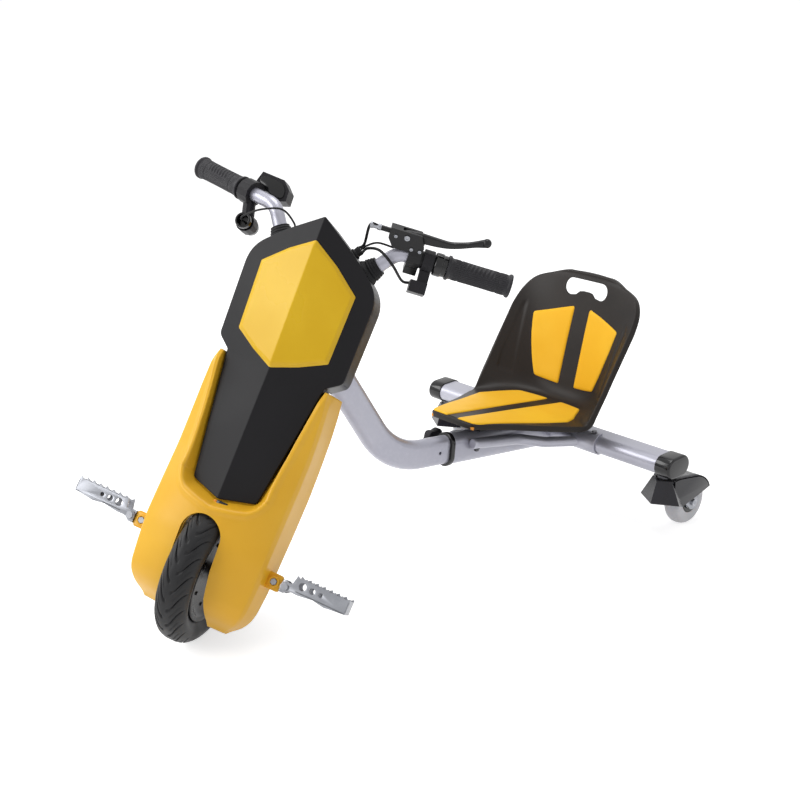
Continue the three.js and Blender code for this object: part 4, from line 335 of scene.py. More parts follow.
# %% One recipe for all finishes
def finish(name, colour, second, rubbed, rough, rough_spread=0.12, metal=0.0, grain=900.0, lift=0.00003,
           patch=14.0, wear=0.5, stretch=(1, 1, 1), specular=0.5, coat=0.0, sheen=0.0, subsurface=0.0,
           glow_through=(0.01, 0.006, 0.004), speckle=0.35):
    """A complete finish: two close shades, rubbed edges, uneven gloss and grain."""
    made = bpy.data.materials.new(name)
    made.use_nodes = True
    tree = made.node_tree
    shader = tree.nodes["Principled BSDF"]
    where = node(tree, "ShaderNodeTexCoord", (-1500, 0))
    spread = node(tree, "ShaderNodeMapping", (-1300, 0), Scale=stretch)
    tree.links.new(where.outputs["Object"], spread.inputs["Vector"])
    place = spread.outputs[0]
    patches = use_group(tree, PATCHES, place, (-1000, 200), Scale=patch, Contrast=speckle)
    edges = use_group(tree, WEAR, place, (-1000, 0), Amount=wear)
    grains = use_group(tree, GRAIN, place, (-1000, -300), Scale=grain)
    shade = blend_colour(tree, patches.outputs["Patch"], linear(colour), linear(second), (-700, 300))
    speck = blend_colour(tree, patches.outputs["Speckle"], shade, linear(second), (-500, 300))
    worn = blend_colour(tree, edges.outputs["Mask"], speck, linear(rubbed), (-300, 300))
    tree.links.new(worn, shader.inputs["Base Color"])
    gloss = between(tree, patches.outputs["Patch"], 0.0, 1.0, (-500, 0), rough - rough_spread / 2,
        rough + rough_spread / 2)
    tree.links.new(gloss, shader.inputs["Roughness"])
    bump = node(tree, "ShaderNodeBump", (-300, -300), Strength=0.6, Distance=lift)
    tree.links.new(grains.outputs["Height"], bump.inputs["Height"])
    tree.links.new(bump.outputs[0], shader.inputs["Normal"])
    shader.inputs["Metallic"].default_value = metal
    shader.inputs["Specular IOR Level"].default_value = specular
    shader.inputs["Coat Weight"].default_value = coat
    shader.inputs["Coat Roughness"].default_value = 0.12
    shader.inputs["Sheen Weight"].default_value = sheen
    shader.inputs["Subsurface Weight"].default_value = subsurface
    shader.inputs["Subsurface Radius"].default_value = glow_through
    FINISHES[name] = made
    return made


print("recipe ready")

# %% [markdown]
# The real scooter has few materials: silver paint, black and yellow moulded plastic, rubber and some bare
# steel. Each line gives two close shades, the rubbed shade and the roughness.

# %% The scooter's finishes
finish("silver_paint", "#ABABB8", "#B9B9C4", "#DADADF", 0.36, metal=0.45, grain=1600, lift=0.00001, patch=7,
    wear=0.35, coat=0.25)
finish("black_paint", "#121214", "#19191B", "#3A3A3C", 0.36, grain=1300, lift=0.00002, wear=0.3, coat=0.1,
    specular=0.25)
finish("black_plastic", "#171619", "#1D1C20", "#403E44", 0.46, grain=1100, lift=0.00006, wear=0.25,
    specular=0.22)
finish("cover_plastic", "#100F12", "#151417", "#3E3C42", 0.4, rough_spread=0.06, grain=1000, lift=0.00003,
    patch=9, wear=0.25, specular=0.2)
finish("seat_plastic", "#211D1B", "#292421", "#4C4540", 0.4, rough_spread=0.1, grain=700, lift=0.00006,
    patch=8, wear=0.3, specular=0.2)
finish("gloss_black", "#08080A", "#0E0D10", "#3A383D", 0.14, rough_spread=0.06, grain=1500, lift=0.00001,
    wear=0.2, coat=0.3, specular=0.3)
finish("yellow_shell", "#F0B92E", "#E9B025", "#F8D070", 0.34, rough_spread=0.08, grain=900, lift=0.00002,
    patch=6, wear=0.25, speckle=0.1, subsurface=0.03, specular=0.4)
finish("yellow_panel", "#ECC01F", "#E4B617", "#F5DA66", 0.3, rough_spread=0.06, grain=1000, lift=0.00002,
    patch=9, wear=0.25, speckle=0.1, specular=0.32)
finish("violet_plastic", "#17161C", "#1E1C25", "#45434E", 0.24, rough_spread=0.06, grain=1200, lift=0.00001,
    patch=11, wear=0.2, coat=0.2, specular=0.3)
finish("pale_resin", "#CFCED2", "#C3C3C9", "#E6E6E9", 0.28, rough_spread=0.1, grain=800, lift=0.00001,
    patch=24, wear=0.2, coat=0.2, subsurface=0.25)
finish("black_rubber", "#121214", "#1A1A1C", "#303033", 0.62, grain=1400, lift=0.00008, patch=26, wear=0.2,
    sheen=0.04, specular=0.25)
finish("grip_rubber", "#222125", "#2A292D", "#47464B", 0.55, grain=1500, lift=0.00007, patch=30, wear=0.25,
    sheen=0.05, specular=0.3)
finish("tyre_rubber", "#121214", "#1A1A1C", "#34343A", 0.5, rough_spread=0.16, grain=1200, lift=0.00006,
    patch=18, wear=0.4, sheen=0.03, specular=0.3)
finish("hub_paint", "#0E0D10", "#141316", "#323136", 0.3, grain=1300, lift=0.00002, patch=12, wear=0.5,
    coat=0.05, specular=0.2)
finish("bare_steel", "#8E9096", "#A0A2A8", "#C9CACE", 0.36, rough_spread=0.14, metal=0.85, grain=1500,
    lift=0.00002, patch=22, wear=0.45)
finish("dark_steel", "#3A3A3E", "#48484C", "#8D8D92", 0.34, rough_spread=0.16, metal=0.7, grain=1500,
    lift=0.00002, patch=22, wear=0.6)
finish("battery_case", "#2C2E33", "#35373D", "#5B5E66", 0.45, grain=900, lift=0.00005, wear=0.4)
finish("controller_case", "#8D9096", "#9B9EA4", "#C9CBD0", 0.4, metal=0.7, grain=1200, lift=0.00003, wear=0.5)
finish("clip_orange", "#EE9A22", "#E48F1C", "#F6B75A", 0.45, grain=1000, lift=0.00003, wear=0.3)
print(len(FINISHES), "finishes ready")

# %% [markdown]
# Most pieces are surfaces worked out with numpy: a grid of points found from two parameters, then joined
# into quads. A closed skin gets end faces, an open one gets its wall from a Solidify modifier. Small hard
# fittings are copies of the CAD solid whose edges are rounded by a Bevel modifier.

# %% Steering frame and rear frame
MILLI = 0.001
RAKE, STORED_TURN = math.radians(35.4), math.radians(29.7)
WHEELBASE, REAR_AXIS, FRONT_HIGH = 0.8, 0.392408, 0.129056
AXIS_DIGITS = 6
ACROSS, RAKED_AHEAD = np.array([1.0, 0.0, 0.0]), np.array([0.0, -math.cos(RAKE), math.sin(RAKE)])
FRONT_BASE = np.round([0.0, REAR_AXIS - WHEELBASE, FRONT_HIGH], AXIS_DIGITS)
# UP is the steering axis. LEFT and AHEAD are the ways across and forward, turned about it. The digits are
# kept, because the bevels on the fairing settle differently when an axis changes by less than a millionth.
UP = np.round([0.0, math.sin(RAKE), math.cos(RAKE)], AXIS_DIGITS)
LEFT = np.round(math.cos(STORED_TURN) * ACROSS - math.sin(STORED_TURN) * RAKED_AHEAD, AXIS_DIGITS)
AHEAD = np.round(math.sin(STORED_TURN) * ACROSS + math.cos(STORED_TURN) * RAKED_AHEAD, AXIS_DIGITS)


def on_front(p, q, m):
    """Steering frame to metres: p to the left, q up the steering axis, m forward, all in millimetres."""
    p, q, m = np.broadcast_arrays(p, q, m)
    return FRONT_BASE + MILLI * (p[..., None] * LEFT + q[..., None] * UP + m[..., None] * AHEAD)


def on_rear(x, y, z):
    """Rear frame to metres: x to the left, y back from the beam's axis, z up, in millimetres."""
    x, y, z = np.broadcast_arrays(x, y, z)
    return np.stack([MILLI * x, MILLI * y + REAR_AXIS, MILLI * z], axis=-1)


def unit(v):
    """Vectors of length one along the last axis."""
    v = np.asarray(v, float)
    return v / np.maximum(np.linalg.norm(v, axis=-1, keepdims=True), 1e-12)


print("steering frame and rear frame ready")

# %% [markdown]
# Most pieces are surfaces over a grid of points. The points could be joined by hand, but a rule for the
# quads between neighbours works for every grid, open or closed.

# %% From grids to meshes
def grid_faces(rows, columns, around, loop=False):
    """Quads between neighbouring points of a grid. Around joins the last column to the first, and loop
    joins the last row to the first."""
    index = np.arange(rows * columns).reshape(rows, columns)
    left = index if around else index[:, :-1]
    right = np.roll(index, -1, axis=1) if around else index[:, 1:]
    low_l, low_r = (left, right) if loop else (left[:-1], right[:-1])
    high_l, high_r = (np.roll(left, -1, axis=0), np.roll(right, -1, axis=0)) if loop else (left[1:],
        right[1:])
    return np.stack([low_l, low_r, high_r, high_l], axis=-1).reshape(-1, 4)


def tidy_mesh(mesh, inside=None, merge=1e-6):
    """Merges doubles and turns the faces outward: away from a point, or by the closed volume."""
    work = bmesh.new()
    work.from_mesh(mesh)
    bmesh.ops.remove_doubles(work, verts=work.verts, dist=merge)
    bmesh.ops.dissolve_degenerate(work, edges=work.edges, dist=merge)
    if inside is None:
        bmesh.ops.recalc_face_normals(work, faces=work.faces)
        if work.calc_volume(signed=True) < 0:
            bmesh.ops.reverse_faces(work, faces=work.faces)
    else:
        bmesh.ops.recalc_face_normals(work, faces=work.faces)
        work.normal_update()
        centre = Vector(inside)
        lean = sum(f.normal.dot(f.calc_center_median() - centre) * f.calc_area() for f in work.faces)
        if lean < 0:
            bmesh.ops.reverse_faces(work, faces=work.faces)
    work.to_mesh(mesh)
    work.free()


def mesh_of(name, points, faces, inside=None):
    """A mesh from an array of points and a list of faces, cleaned and facing outward."""
    mesh = bpy.data.meshes.new(name)
    mesh.from_pydata(np.asarray(points, float).reshape(-1, 3).tolist(), [],
        [list(map(int, f)) for f in faces])
    tidy_mesh(mesh, inside)
    return mesh


def skin(name, grid, around=True, capped=True, loop=False, inside=None):
    """A mesh over a grid of points; capped closes the first and last row with one face each."""
    rows, columns = grid.shape[:2]
    faces = grid_faces(rows, columns, around, loop).tolist()
    if capped and around and not loop:
        faces += [list(range(columns))[::-1], list(range((rows - 1) * columns, rows * columns))]
    closed = around and (capped or loop)
    return mesh_of(name, grid, faces, None if closed else inside)


def joined(name, *meshes):
    """Several meshes as one."""
    work = bmesh.new()
    for mesh in meshes:
        work.from_mesh(mesh)
    made = bpy.data.meshes.new(name)
    work.to_mesh(made)
    work.free()
    return made


def smooth(mesh, angle=35):
    """Smooth shading that keeps edges sharper than the angle."""
    mesh.shade_smooth()
    mesh.set_sharp_from_angle(angle=math.radians(angle))


print("mesh helpers ready")

# %% [markdown]
# A finished piece needs three things: its finish, the body that it rides on and the solid that it stands
# for. One function sets them all, so that no piece is left behind when a joint moves.


def place_piece(name, mesh, body, material, stands_for="", angle=35):
    """Makes the piece, gives it its finish, sets it on its body and hides the CAD node it stands for."""
    made = bpy.data.objects.new(name, mesh)
    scene.collection.objects.link(made)
    mesh.materials.clear()
    mesh.materials.append(FINISHES[material])
    smooth(mesh, angle)
    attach(made, body)
    if stands_for:
        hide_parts(stands_for)
    return made


# %% [markdown]
# Real edges are never sharp and real shells have a wall. Modifiers give both without changing the shape
# that was worked out, and a boolean cuts the holes.

# %% Rounding, walls and holes
def rounded_edges(piece, width, angle=28, segments=2):
    """Bevel modifier on edges sharper than the angle, width in millimetres."""
    bevel = piece.modifiers.new("rounded_edges", "BEVEL")
    bevel.width = width * MILLI
    bevel.segments = segments
    bevel.limit_method = "ANGLE"
    bevel.angle_limit = math.radians(angle)
    bevel.harden_normals = True
    return piece


def walled(piece, thickness):
    """Solidify modifier that thickens an open skin inward, in millimetres."""
    wall = piece.modifiers.new("wall", "SOLIDIFY")
    wall.thickness = thickness * MILLI
    wall.offset = -1.0
    wall.use_even_offset = True
    wall.use_quality_normals = True
    return piece


def baked(piece):
    """Applies the modifiers so far to the piece's own mesh."""
    graph = bpy.context.evaluated_depsgraph_get()
    mesh = bpy.data.meshes.new_from_object(piece.evaluated_get(graph))
    old = piece.data
    piece.modifiers.clear()
    piece.data = mesh
    bpy.data.meshes.remove(old)
    return piece


def drilled(piece, *tools):
    """Cuts closed tool meshes out of a piece with exact booleans and keeps only the result."""
    cutters = []
    for tool in tools:
        cutter = bpy.data.objects.new("cutter", tool)
        scene.collection.objects.link(cutter)
        cut = piece.modifiers.new("cut", "BOOLEAN")
        cut.operation = "DIFFERENCE"
        cut.solver = "EXACT"
        cut.object = cutter
        cutters.append(cutter)
    bpy.context.view_layer.update()
    baked(piece)
    for cutter in cutters:
        bpy.data.objects.remove(cutter)
    return piece


print("modifier helpers ready")

# %% [markdown]
# A few small solids already have the right form and only look too sharp. They are copied, merged into
# whole faces and rounded, which keeps them exactly in their places.

# %% Softened copies
def softened(node_name, width, material, body, angle=28, name=None, segments=2):
    """A copy of a CAD solid, merged into whole faces and with its edges rounded."""
    mesh = nodes[node_name].data.copy()
    work = bmesh.new()
    work.from_mesh(mesh)
    bmesh.ops.remove_doubles(work, verts=work.verts, dist=2e-6)
    bmesh.ops.dissolve_limit(work, angle_limit=math.radians(1.5), verts=work.verts, edges=work.edges)
    work.to_mesh(mesh)
    work.free()
    made = place_piece(name or f"fine_{node_name}", mesh, body, material, node_name, angle)
    return rounded_edges(made, width, angle, segments)


print("helpers ready")

# %% Round and flat oval sections


def ring(radius, sides=48, phase=0.0):
    """A circle as x, y points."""
    turn = np.arange(sides) * 2 * np.pi / sides + phase
    return np.stack([radius * np.cos(turn), radius * np.sin(turn)], axis=-1)


def flat_oval(width, height, steps=20):
    """Two half circles joined by straight sides, longer way as given."""
    radius = min(width, height) / 2
    run = abs(width - height) / 2
    turn = np.linspace(0, np.pi, steps)
    upper = np.stack([radius * np.cos(turn), radius * np.sin(turn) + run], axis=-1)
    whole = np.concatenate([upper, -upper])
    return whole if height >= width else whole[:, ::-1] * [1, -1]


print("sections ready")

# %% [markdown]
# A tube is a section carried along a path. The section must not twist on the way, so its two directions
# are kept close to one side direction.

# %% Paths and swept tubes
def frames_along(path, side):
    """Unit directions of a path, and the two ways across it kept close to a side direction."""
    way = unit(np.gradient(path, axis=0))
    side = np.broadcast_to(np.asarray(side, float), path.shape)
    across = unit(side - (side * way).sum(-1, keepdims=True) * way)
    return way, across, np.cross(way, across)


def swept(name, path, section, side=(1, 0, 0), scale=None, capped=True):
    """A section (x, y in millimetres) carried along a path in metres; scale shrinks it along the way."""
    path = np.asarray(path, float)
    _, across, above = frames_along(path, side)
    size = np.ones(len(path)) if scale is None else np.asarray(scale, float)
    section = np.asarray(section, float)
    flat = section if section.ndim == 3 else np.broadcast_to(section, (len(path),) + section.shape)
    flat = flat * size[:, None, None] * MILLI
    grid = path[:, None] + flat[..., 0:1] * across[:, None] + flat[..., 1:2] * above[:, None]
    return skin(name, grid, capped=capped)


def curved(points, per_span=14):
    """A Catmull-Rom curve through points."""
    points = np.asarray(points, float)
    ends = np.concatenate([[2 * points[0] - points[1]], points, [2 * points[-1] - points[-2]]])
    a, b, c, d = ends[:-3, None], ends[1:-2, None], ends[2:-1, None], ends[3:, None]
    t = np.linspace(0, 1, per_span, endpoint=False)[None, :, None]
    spans = 0.5 * (2 * b + (c - a) * t + (2 * a - 5 * b + 4 * c - d) * t ** 2 + (3 * b - a - 3 * c + d)
        * t ** 3)
    return np.concatenate([spans.reshape(-1, 3), points[-1:]])


def rounded_path(points, radius, steps=12):
    """Straight runs whose corners are rounded by curves that leave the corner equally on both sides."""
    points = [np.asarray(p, float) for p in points]
    out = [points[0]]
    t = np.linspace(0, 1, steps)[:, None]
    for before, corner, after in zip(points, points[1:], points[2:]):
        a, b = unit(before - corner), unit(after - corner)
        half = math.acos(max(-1, min(1, float(a @ b)))) / 2
        reach = min(radius / math.tan(half), np.linalg.norm(after - corner) / 2)
        start, end = corner + a * reach, corner + b * reach
        out += list((1 - t) ** 2 * start + 2 * t * (1 - t) * corner + t ** 2 * end)
    return np.array(out + [points[-1]])


def resampled(path, count):
    """The same path with evenly spaced points."""
    step = np.r_[0, np.cumsum(np.linalg.norm(np.diff(path, axis=0), axis=1))]
    even = np.linspace(0, step[-1], count)
    return np.stack([np.interp(even, step, path[:, k]) for k in range(3)], axis=-1)


print("paths ready")

# %% [markdown]
# Hubs, cups, screws and grips come off a lathe. A profile of radius and height, turned about an axis, is
# the shortest way to them.

# %% Turned forms
def turned_form(name, profile, origin, axis, sides=64, near=(0, 0, 1), lobes=None):
    """A profile of (radius, height) millimetres turned about an axis; lobes may change the
    radius by angle."""
    z = unit(axis)
    x = unit(np.asarray(near, float) - np.dot(near, z) * z)
    y = np.cross(z, x)
    profile = np.asarray(profile, float)
    turn = np.arange(sides) * 2 * np.pi / sides
    radius = np.repeat(profile[:, :1], sides, axis=1)
    if lobes is not None:
        radius = lobes(radius, profile[:, 1:], turn[None])
    grid = np.asarray(origin) + MILLI * (
        radius[..., None] * (np.cos(turn)[:, None] * x + np.sin(turn)[:, None] * y)
        + profile[:, 1][:, None, None] * z
    )
    closed_profile = np.allclose(profile[0], profile[-1])
    return skin(name, grid[:-1] if closed_profile else grid, loop=closed_profile)


def softened_profile(points, radius, steps=4):
    """A profile whose inner corners are rounded by a radius in millimetres."""
    points = [np.asarray(p, float) for p in points]
    out = [points[0]]
    t = np.linspace(0, 1, steps)[:, None]
    for before, corner, after in zip(points, points[1:], points[2:]):
        reach = min(radius, np.linalg.norm(before - corner) * 0.45, np.linalg.norm(after - corner) * 0.45)
        start, end = corner + unit(before - corner) * reach, corner + unit(after - corner) * reach
        out += list((1 - t) ** 2 * start + 2 * t * (1 - t) * corner + t ** 2 * end)
    return np.array(out + [points[-1]])


print("turned forms ready")

# %% [markdown]
# Brackets and forks are stamped from sheet. A filled flat curve with holes, thickened and rounded, is the
# same thing as the stamping.

# %% Stamped plates
def plate(name, outline, holes, thickness, origin, x_way, y_way, bevel=0.4):
    """A stamped plate: a filled flat curve with its holes, thickened and rounded, then made a mesh
    in place."""
    curve = bpy.data.curves.new(name, "CURVE")
    curve.dimensions = "2D"
    curve.fill_mode = "BOTH"
    curve.extrude = (thickness / 2 - bevel) * MILLI
    curve.bevel_depth = bevel * MILLI
    curve.bevel_resolution = 1
    curve.offset = -bevel * MILLI
    for line in [outline, *holes]:
        line = np.asarray(line, float) * MILLI
        spline = curve.splines.new("POLY")
        spline.points.add(len(line) - 1)
        spline.points.foreach_set("co", np.c_[line, np.zeros(len(line)), np.ones(len(line))].ravel())
        spline.use_cyclic_u = True
    flat = bpy.data.objects.new(name, curve)
    scene.collection.objects.link(flat)
    bpy.context.view_layer.update()
    mesh = bpy.data.meshes.new_from_object(flat.evaluated_get(bpy.context.evaluated_depsgraph_get()))
    bpy.data.objects.remove(flat)
    x, y = unit(x_way), unit(y_way)
    basis = np.eye(4)
    basis[:3, 0], basis[:3, 1], basis[:3, 2], basis[:3, 3] = x, y, np.cross(x, y), origin
    mesh.transform(Matrix(basis.tolist()))
    tidy_mesh(mesh)
    return mesh


print("plates ready")

# %% [markdown]
# Left and right pieces are twins. Mirroring turns a shape inside out, so its faces are flipped back.

# %% Twins on the other side
def mirrored_front(mesh):
    """The same form on the other side of the steering frame: p changes sign."""
    flip = np.eye(4)
    flip[:3, :3] -= 2 * np.outer(LEFT, LEFT)
    flip[:3, 3] = 2 * LEFT * float(LEFT @ FRONT_BASE)
    made = mesh.copy()
    made.transform(Matrix(flip.tolist()))
    made.flip_normals()
    return made


def mirrored_rear(mesh):
    """The same form on the other side of the frame: x changes sign."""
    made = mesh.copy()
    made.transform(Matrix.Diagonal((-1, 1, 1, 1)))
    made.flip_normals()
    return made


print("forms ready")

# %% [markdown]
# ## The front wheel
# A ten-inch tyre whose tread is cut by long curved grooves that run from the middle out over the
# shoulder, one side half a pitch behind the other. It could be cut with booleans, but a depth map over
# the tyre's own two parameters, round and across, gives every groove its soft bottom and keeps one clean
# closed skin.

# %% Tyre
TYRE_RADIUS, TYRE_HALF, BEAD = 123.7, 27.0, 84.6
GROOVES, GROOVE_DEPTH = 24, 2.4
TYRE_SECTION = [(0, 0), (0.3, 0.012), (0.62, 0.09), (0.9, 0.31), (0.97, 0.62), (0.64, 1)]
WHEEL_CENTRE = on_front(0.0, 0.0, -16.1)


def groove_depth(turn, across):
    """Depth of the tread: a phase that runs round the tyre and bends outward with the distance across."""
    reach = np.abs(across)
    phase = turn * GROOVES / (2 * np.pi) + 1.15 * reach ** 1.25 - 0.13 * np.sin(2 * np.pi
        * reach) + 0.5 * (across < 0)
    off = np.abs(phase % 1.0 - 0.5)
    half = 0.05 + 0.075 * np.clip(1 - reach, 0, 1)
    cut = np.clip((half - off) / 0.05, 0, 1)
    fade = np.clip((0.97 - reach) / 0.1, 0, 1) * np.clip((reach - 0.06) / 0.1, 0, 1)
    sipe = np.clip((0.05 - np.abs((phase + 0.5 - 0.1 * reach) % 1.0 - 0.5)) / 0.04, 0, 1)
    short = np.clip((reach - 0.3) / 0.08, 0, 1) * np.clip((0.8 - reach) / 0.08, 0, 1)
    return GROOVE_DEPTH * ((cut * cut * (3 - 2 * cut)) * fade + 0.55 * sipe * short)


def tyre_grid(rounds=820):
    """Each point is the section turned round the axle, pulled in by the groove depth."""
    half = np.array([(a * TYRE_HALF, TYRE_RADIUS - d * (TYRE_RADIUS - BEAD), 0) for a, d in TYRE_SECTION])
    line = curved(np.concatenate([half[:0:-1] * [-1, 1, 1], half]), 7)
    across, radius = line[:, 0], line[:, 1]
    turn = np.linspace(0, 2 * np.pi, rounds, endpoint=False)[:, None]
    cut = groove_depth(turn, across[None] / TYRE_HALF) * (radius > 102)
    radius = radius[None] - cut
    return WHEEL_CENTRE + MILLI * (
        (radius * np.cos(turn))[..., None] * UP + (radius * np.sin(turn))[..., None] * AHEAD
        + np.broadcast_to(across, radius.shape)[..., None] * LEFT
    )


place_piece("tread_tyre", skin("tread_tyre", tyre_grid(), around=True, loop=True), "front_wheel",
    "tyre_rubber", "front_tyre", angle=60)


# %% [markdown]
# The hub motor is a dished black disc between two rim lips. A turned profile with rounded corners is
# enough; a ring of small screws on each side shows its scale when the shroud is seen from below.

# %% Hub motor
def screw_ring(centre, axis, near, radius, count, head, height):
    """Small domed six-sided screw heads set evenly round a circle."""
    z = unit(axis)
    x = unit(np.asarray(near, float))
    y = np.cross(z, x)
    profile = softened_profile([(0, 0), (head, 0), (head, height), (0, height)], head * 0.3)
    turns = np.arange(count) * 2 * np.pi / count
    return [turned_form("screw", profile, centre + MILLI * radius * (math.cos(t) * x + math.sin(t) * y), z,
        12, x) for t in turns]


hub_profile = softened_profile([
    (6.3, -22.5), (12, -22.5), (24, -15), (66, -15), (72, -17), (76, -21), (84.2, -21), (84.2, 21),
    (76, 21), (72, 17),
    (66, 15), (24, 15), (12, 22.5), (6.3, 22.5), (6.3, -22.5)], 2.2, 5)
hub_parts = [turned_form("hub", hub_profile, WHEEL_CENTRE, LEFT, 120, UP)]
for side in (1, -1):
    hub_parts += screw_ring(WHEEL_CENTRE + MILLI * 14.6 * side * LEFT, side * LEFT, UP, 56, 8, 3.2, 2.2)
place_piece("motor_hub", joined("motor_hub", *hub_parts), "front_wheel", "hub_paint", "hub_motor")
print("hub parts:", len(hub_parts))

# %% [markdown]
# ## The shroud
# One moulded yellow shell wraps the wheel: a gently crowned face, a double crease, a flared side, an arch
# over the tyre and a pocket with a soft lip that takes the fairing's tongue. Here it is a height over two
# parameters, the level up the steering axis and the way across, made for one half, mirrored and given its
# wall.

# %% Shroud outline by level
SHROUD_WALL, TUNNEL_WALL = 3.0, 1.6
LEVELS = np.array([-80, -70, -55, -38, 2, 43, 102, 161, 211, 261, 299, 316.0])
CROWN = [2, 22, 42, 54, 70, 79, 90, 88, 90, 92, 93, 90]
CREASE_OUT = [66, 82, 93, 98, 101, 102, 101.5, 101, 101, 99.5, 97, 93]
CREASE_AHEAD = [-8, 6, 27, 37.5, 44, 52, 54, 54.5, 60, 70, 79, 72]
BACK_OUT = [70, 87, 100, 106, 109, 109, 109, 108, 107, 106, 104, 102]
BACK_AHEAD = [-9, -9.5, -10, -10, -10, -10, -10, -10, -4, 6, 16, 22]
TIP_HALF, NECK_HALF, TIP_AT, NECK_AT, LOW_AT, TIP_SLOPE = 55.0, 84.0, 121.0, 320.0, 106.0, 0.27


def eased(q, values, reach=9.0):
    """A value along the levels, averaged over a short reach so that it has no corners."""
    steps = np.linspace(-reach, reach, 9)
    return np.mean([np.interp(q + s, LEVELS, values) for s in steps], axis=0)


def tongue_half(q):
    """Half width of the tongue, narrowing evenly down to its tip."""
    return TIP_HALF + (NECK_HALF - TIP_HALF) * (q - TIP_AT) / (NECK_AT - TIP_AT)


def arch_half(q):
    """Half width of the wheel arch: a half circle that widens downward."""
    top = np.sqrt(np.clip(34.0 ** 2 - (q - 44.5) ** 2, 0, None))
    low = np.interp(q, [-80, -40, 0, 44.5], [45, 37.5, 34.5, 34])
    return np.where(q > 44.5, top, low)


def smooth_least(a, b, radius):
    """The lower of two heights, with their meeting rounded."""
    h = np.clip(0.5 + 0.5 * (b - a) / radius, 0, 1)
    return b + (a - b) * h - radius * h * (1 - h)


print("shroud levels", len(LEVELS))

# %% [markdown]
# The fairing's tongue lies in a pocket of the shroud. The pocket could be cut out, but a height that
# falls with the distance to the tongue's outline gives soft walls and a lip.

# %% The pocket and the shroud's skin
def pocket_height(p, q, face):
    """Height of the pocket's floor and walls, from the distance to the tongue's outline, plus
    its soft lip."""
    corner = 9.0
    floor_here = 65 - (q - 115) * 0.02 - 0.24 * np.abs(p)
    side = np.abs(p) - (tongue_half(np.maximum(q, TIP_AT)) + 1.2 - corner)
    below = (LOW_AT - 1.5 + TIP_SLOPE * np.abs(p) + corner) - q
    away = np.hypot(np.maximum(side, 0), np.maximum(below, 0)) - corner
    away = np.where((side < 0) & (below < 0), -corner, away)
    steep = 2.0 + 2.4 * np.clip((q - 135) / 60, 0, 1) + 7 * np.clip((q - 200) / 100, 0, 1)
    wall = floor_here + steep * np.maximum(away, 0)
    edge = away - (face - floor_here) / steep
    lip = 2.4 * np.exp(-((edge - 6.5) / 4.5) ** 2)
    return smooth_least(face + lip, wall, 5.0)


def shroud_half():
    """Grid of one half: rows go up the axis, columns from the arch or window edge over the
    crease to the back."""
    q = np.unique(np.r_[np.arange(-80, 60, 2.6), np.arange(60, 77, 1.2), 77, 77.6, 78.1, 78.5,
        np.arange(80, 128, 2.4),
                        np.arange(128, 142, 0.9), np.arange(142, 315, 2.6), 316])
    window = (tongue_half(q) - 9) * np.sqrt(np.clip(1 - (np.clip(142 - q, 0, 12) / 12) ** 2, 0, 1))
    inner = np.where(q > 130, window, np.where(q > 78.5, 0.0, arch_half(q)))
    out, ahead, crown = eased(q, CREASE_OUT), eased(q, CREASE_AHEAD), eased(q, CROWN)
    back_out, back = eased(q, BACK_OUT), eased(q, BACK_AHEAD)
    share = np.linspace(0, 1, 70)[None]
    p = inner[:, None] + (out - inner)[:, None] * share
    face = ahead[:, None] + (crown - ahead)[:, None] * (1 - (p / out[:, None]) ** 2)
    rows = np.broadcast_to(q[:, None], p.shape)
    m = pocket_height(p, rows, face)
    drop = ahead - back
    band = np.clip(0.16 * drop, 0.4, 9.0)
    knots_p = np.stack([out, out + 0.45 * band, back_out - 1.5, back_out], axis=-1)
    knots_m = np.stack([ahead, ahead - band, back + 0.35 * drop, back], axis=-1)
    side_share = np.r_[np.linspace(0, 1, 8)[1:], np.linspace(1, 2, 20)[1:], np.linspace(2, 3, 10)[1:]]
    at = np.clip(side_share.astype(int), 0, 2)
    part = side_share - at
    side_p = knots_p[:, at] * (1 - part) + knots_p[:, at + 1] * part
    side_m = knots_m[:, at] * (1 - part) + knots_m[:, at + 1] * part
    lip_depth = np.where(q < 78.4, 9.0, 0.0)[:, None] * np.array([[1.0, 0.55, 0.12]])
    lip_p = np.repeat(p[:, :1], 3, axis=1)
    p = np.concatenate([lip_p, p, side_p], axis=1)
    m = np.concatenate([m[:, :1] - lip_depth, m, side_m], axis=1)
    for _ in range(2):
        p[:, 4:-1] = (p[:, 3:-2] + 2 * p[:, 4:-1] + p[:, 5:]) / 4
        m[:, 4:-1] = (m[:, 3:-2] + 2 * m[:, 4:-1] + m[:, 5:]) / 4
    return p, np.broadcast_to(q[:, None], p.shape), m


half_p, half_q, half_m = shroud_half()
inside_shroud = tuple(on_front(0.0, 60.0, -60.0))
left_skin = skin("shroud_left", on_front(half_p, half_q, half_m), around=False, inside=inside_shroud)
right_skin = skin("shroud_right", on_front(-half_p, half_q, half_m), around=False, inside=inside_shroud)
shroud_mesh = joined("wheel_shroud", left_skin, right_skin)
tidy_mesh(shroud_mesh, inside_shroud, merge=4e-5)
shroud = place_piece("wheel_shroud", shroud_mesh, "steering", "yellow_shell", "front_shroud", angle=50)
walled(shroud, SHROUD_WALL)
print("shroud grid", half_p.shape, "faces", len(shroud_mesh.polygons))

# %% [markdown]
# The real arch has a thickness that shows beside the tyre. A band along the arch's edge that leads back
# round the tyre closes the view into the shroud.

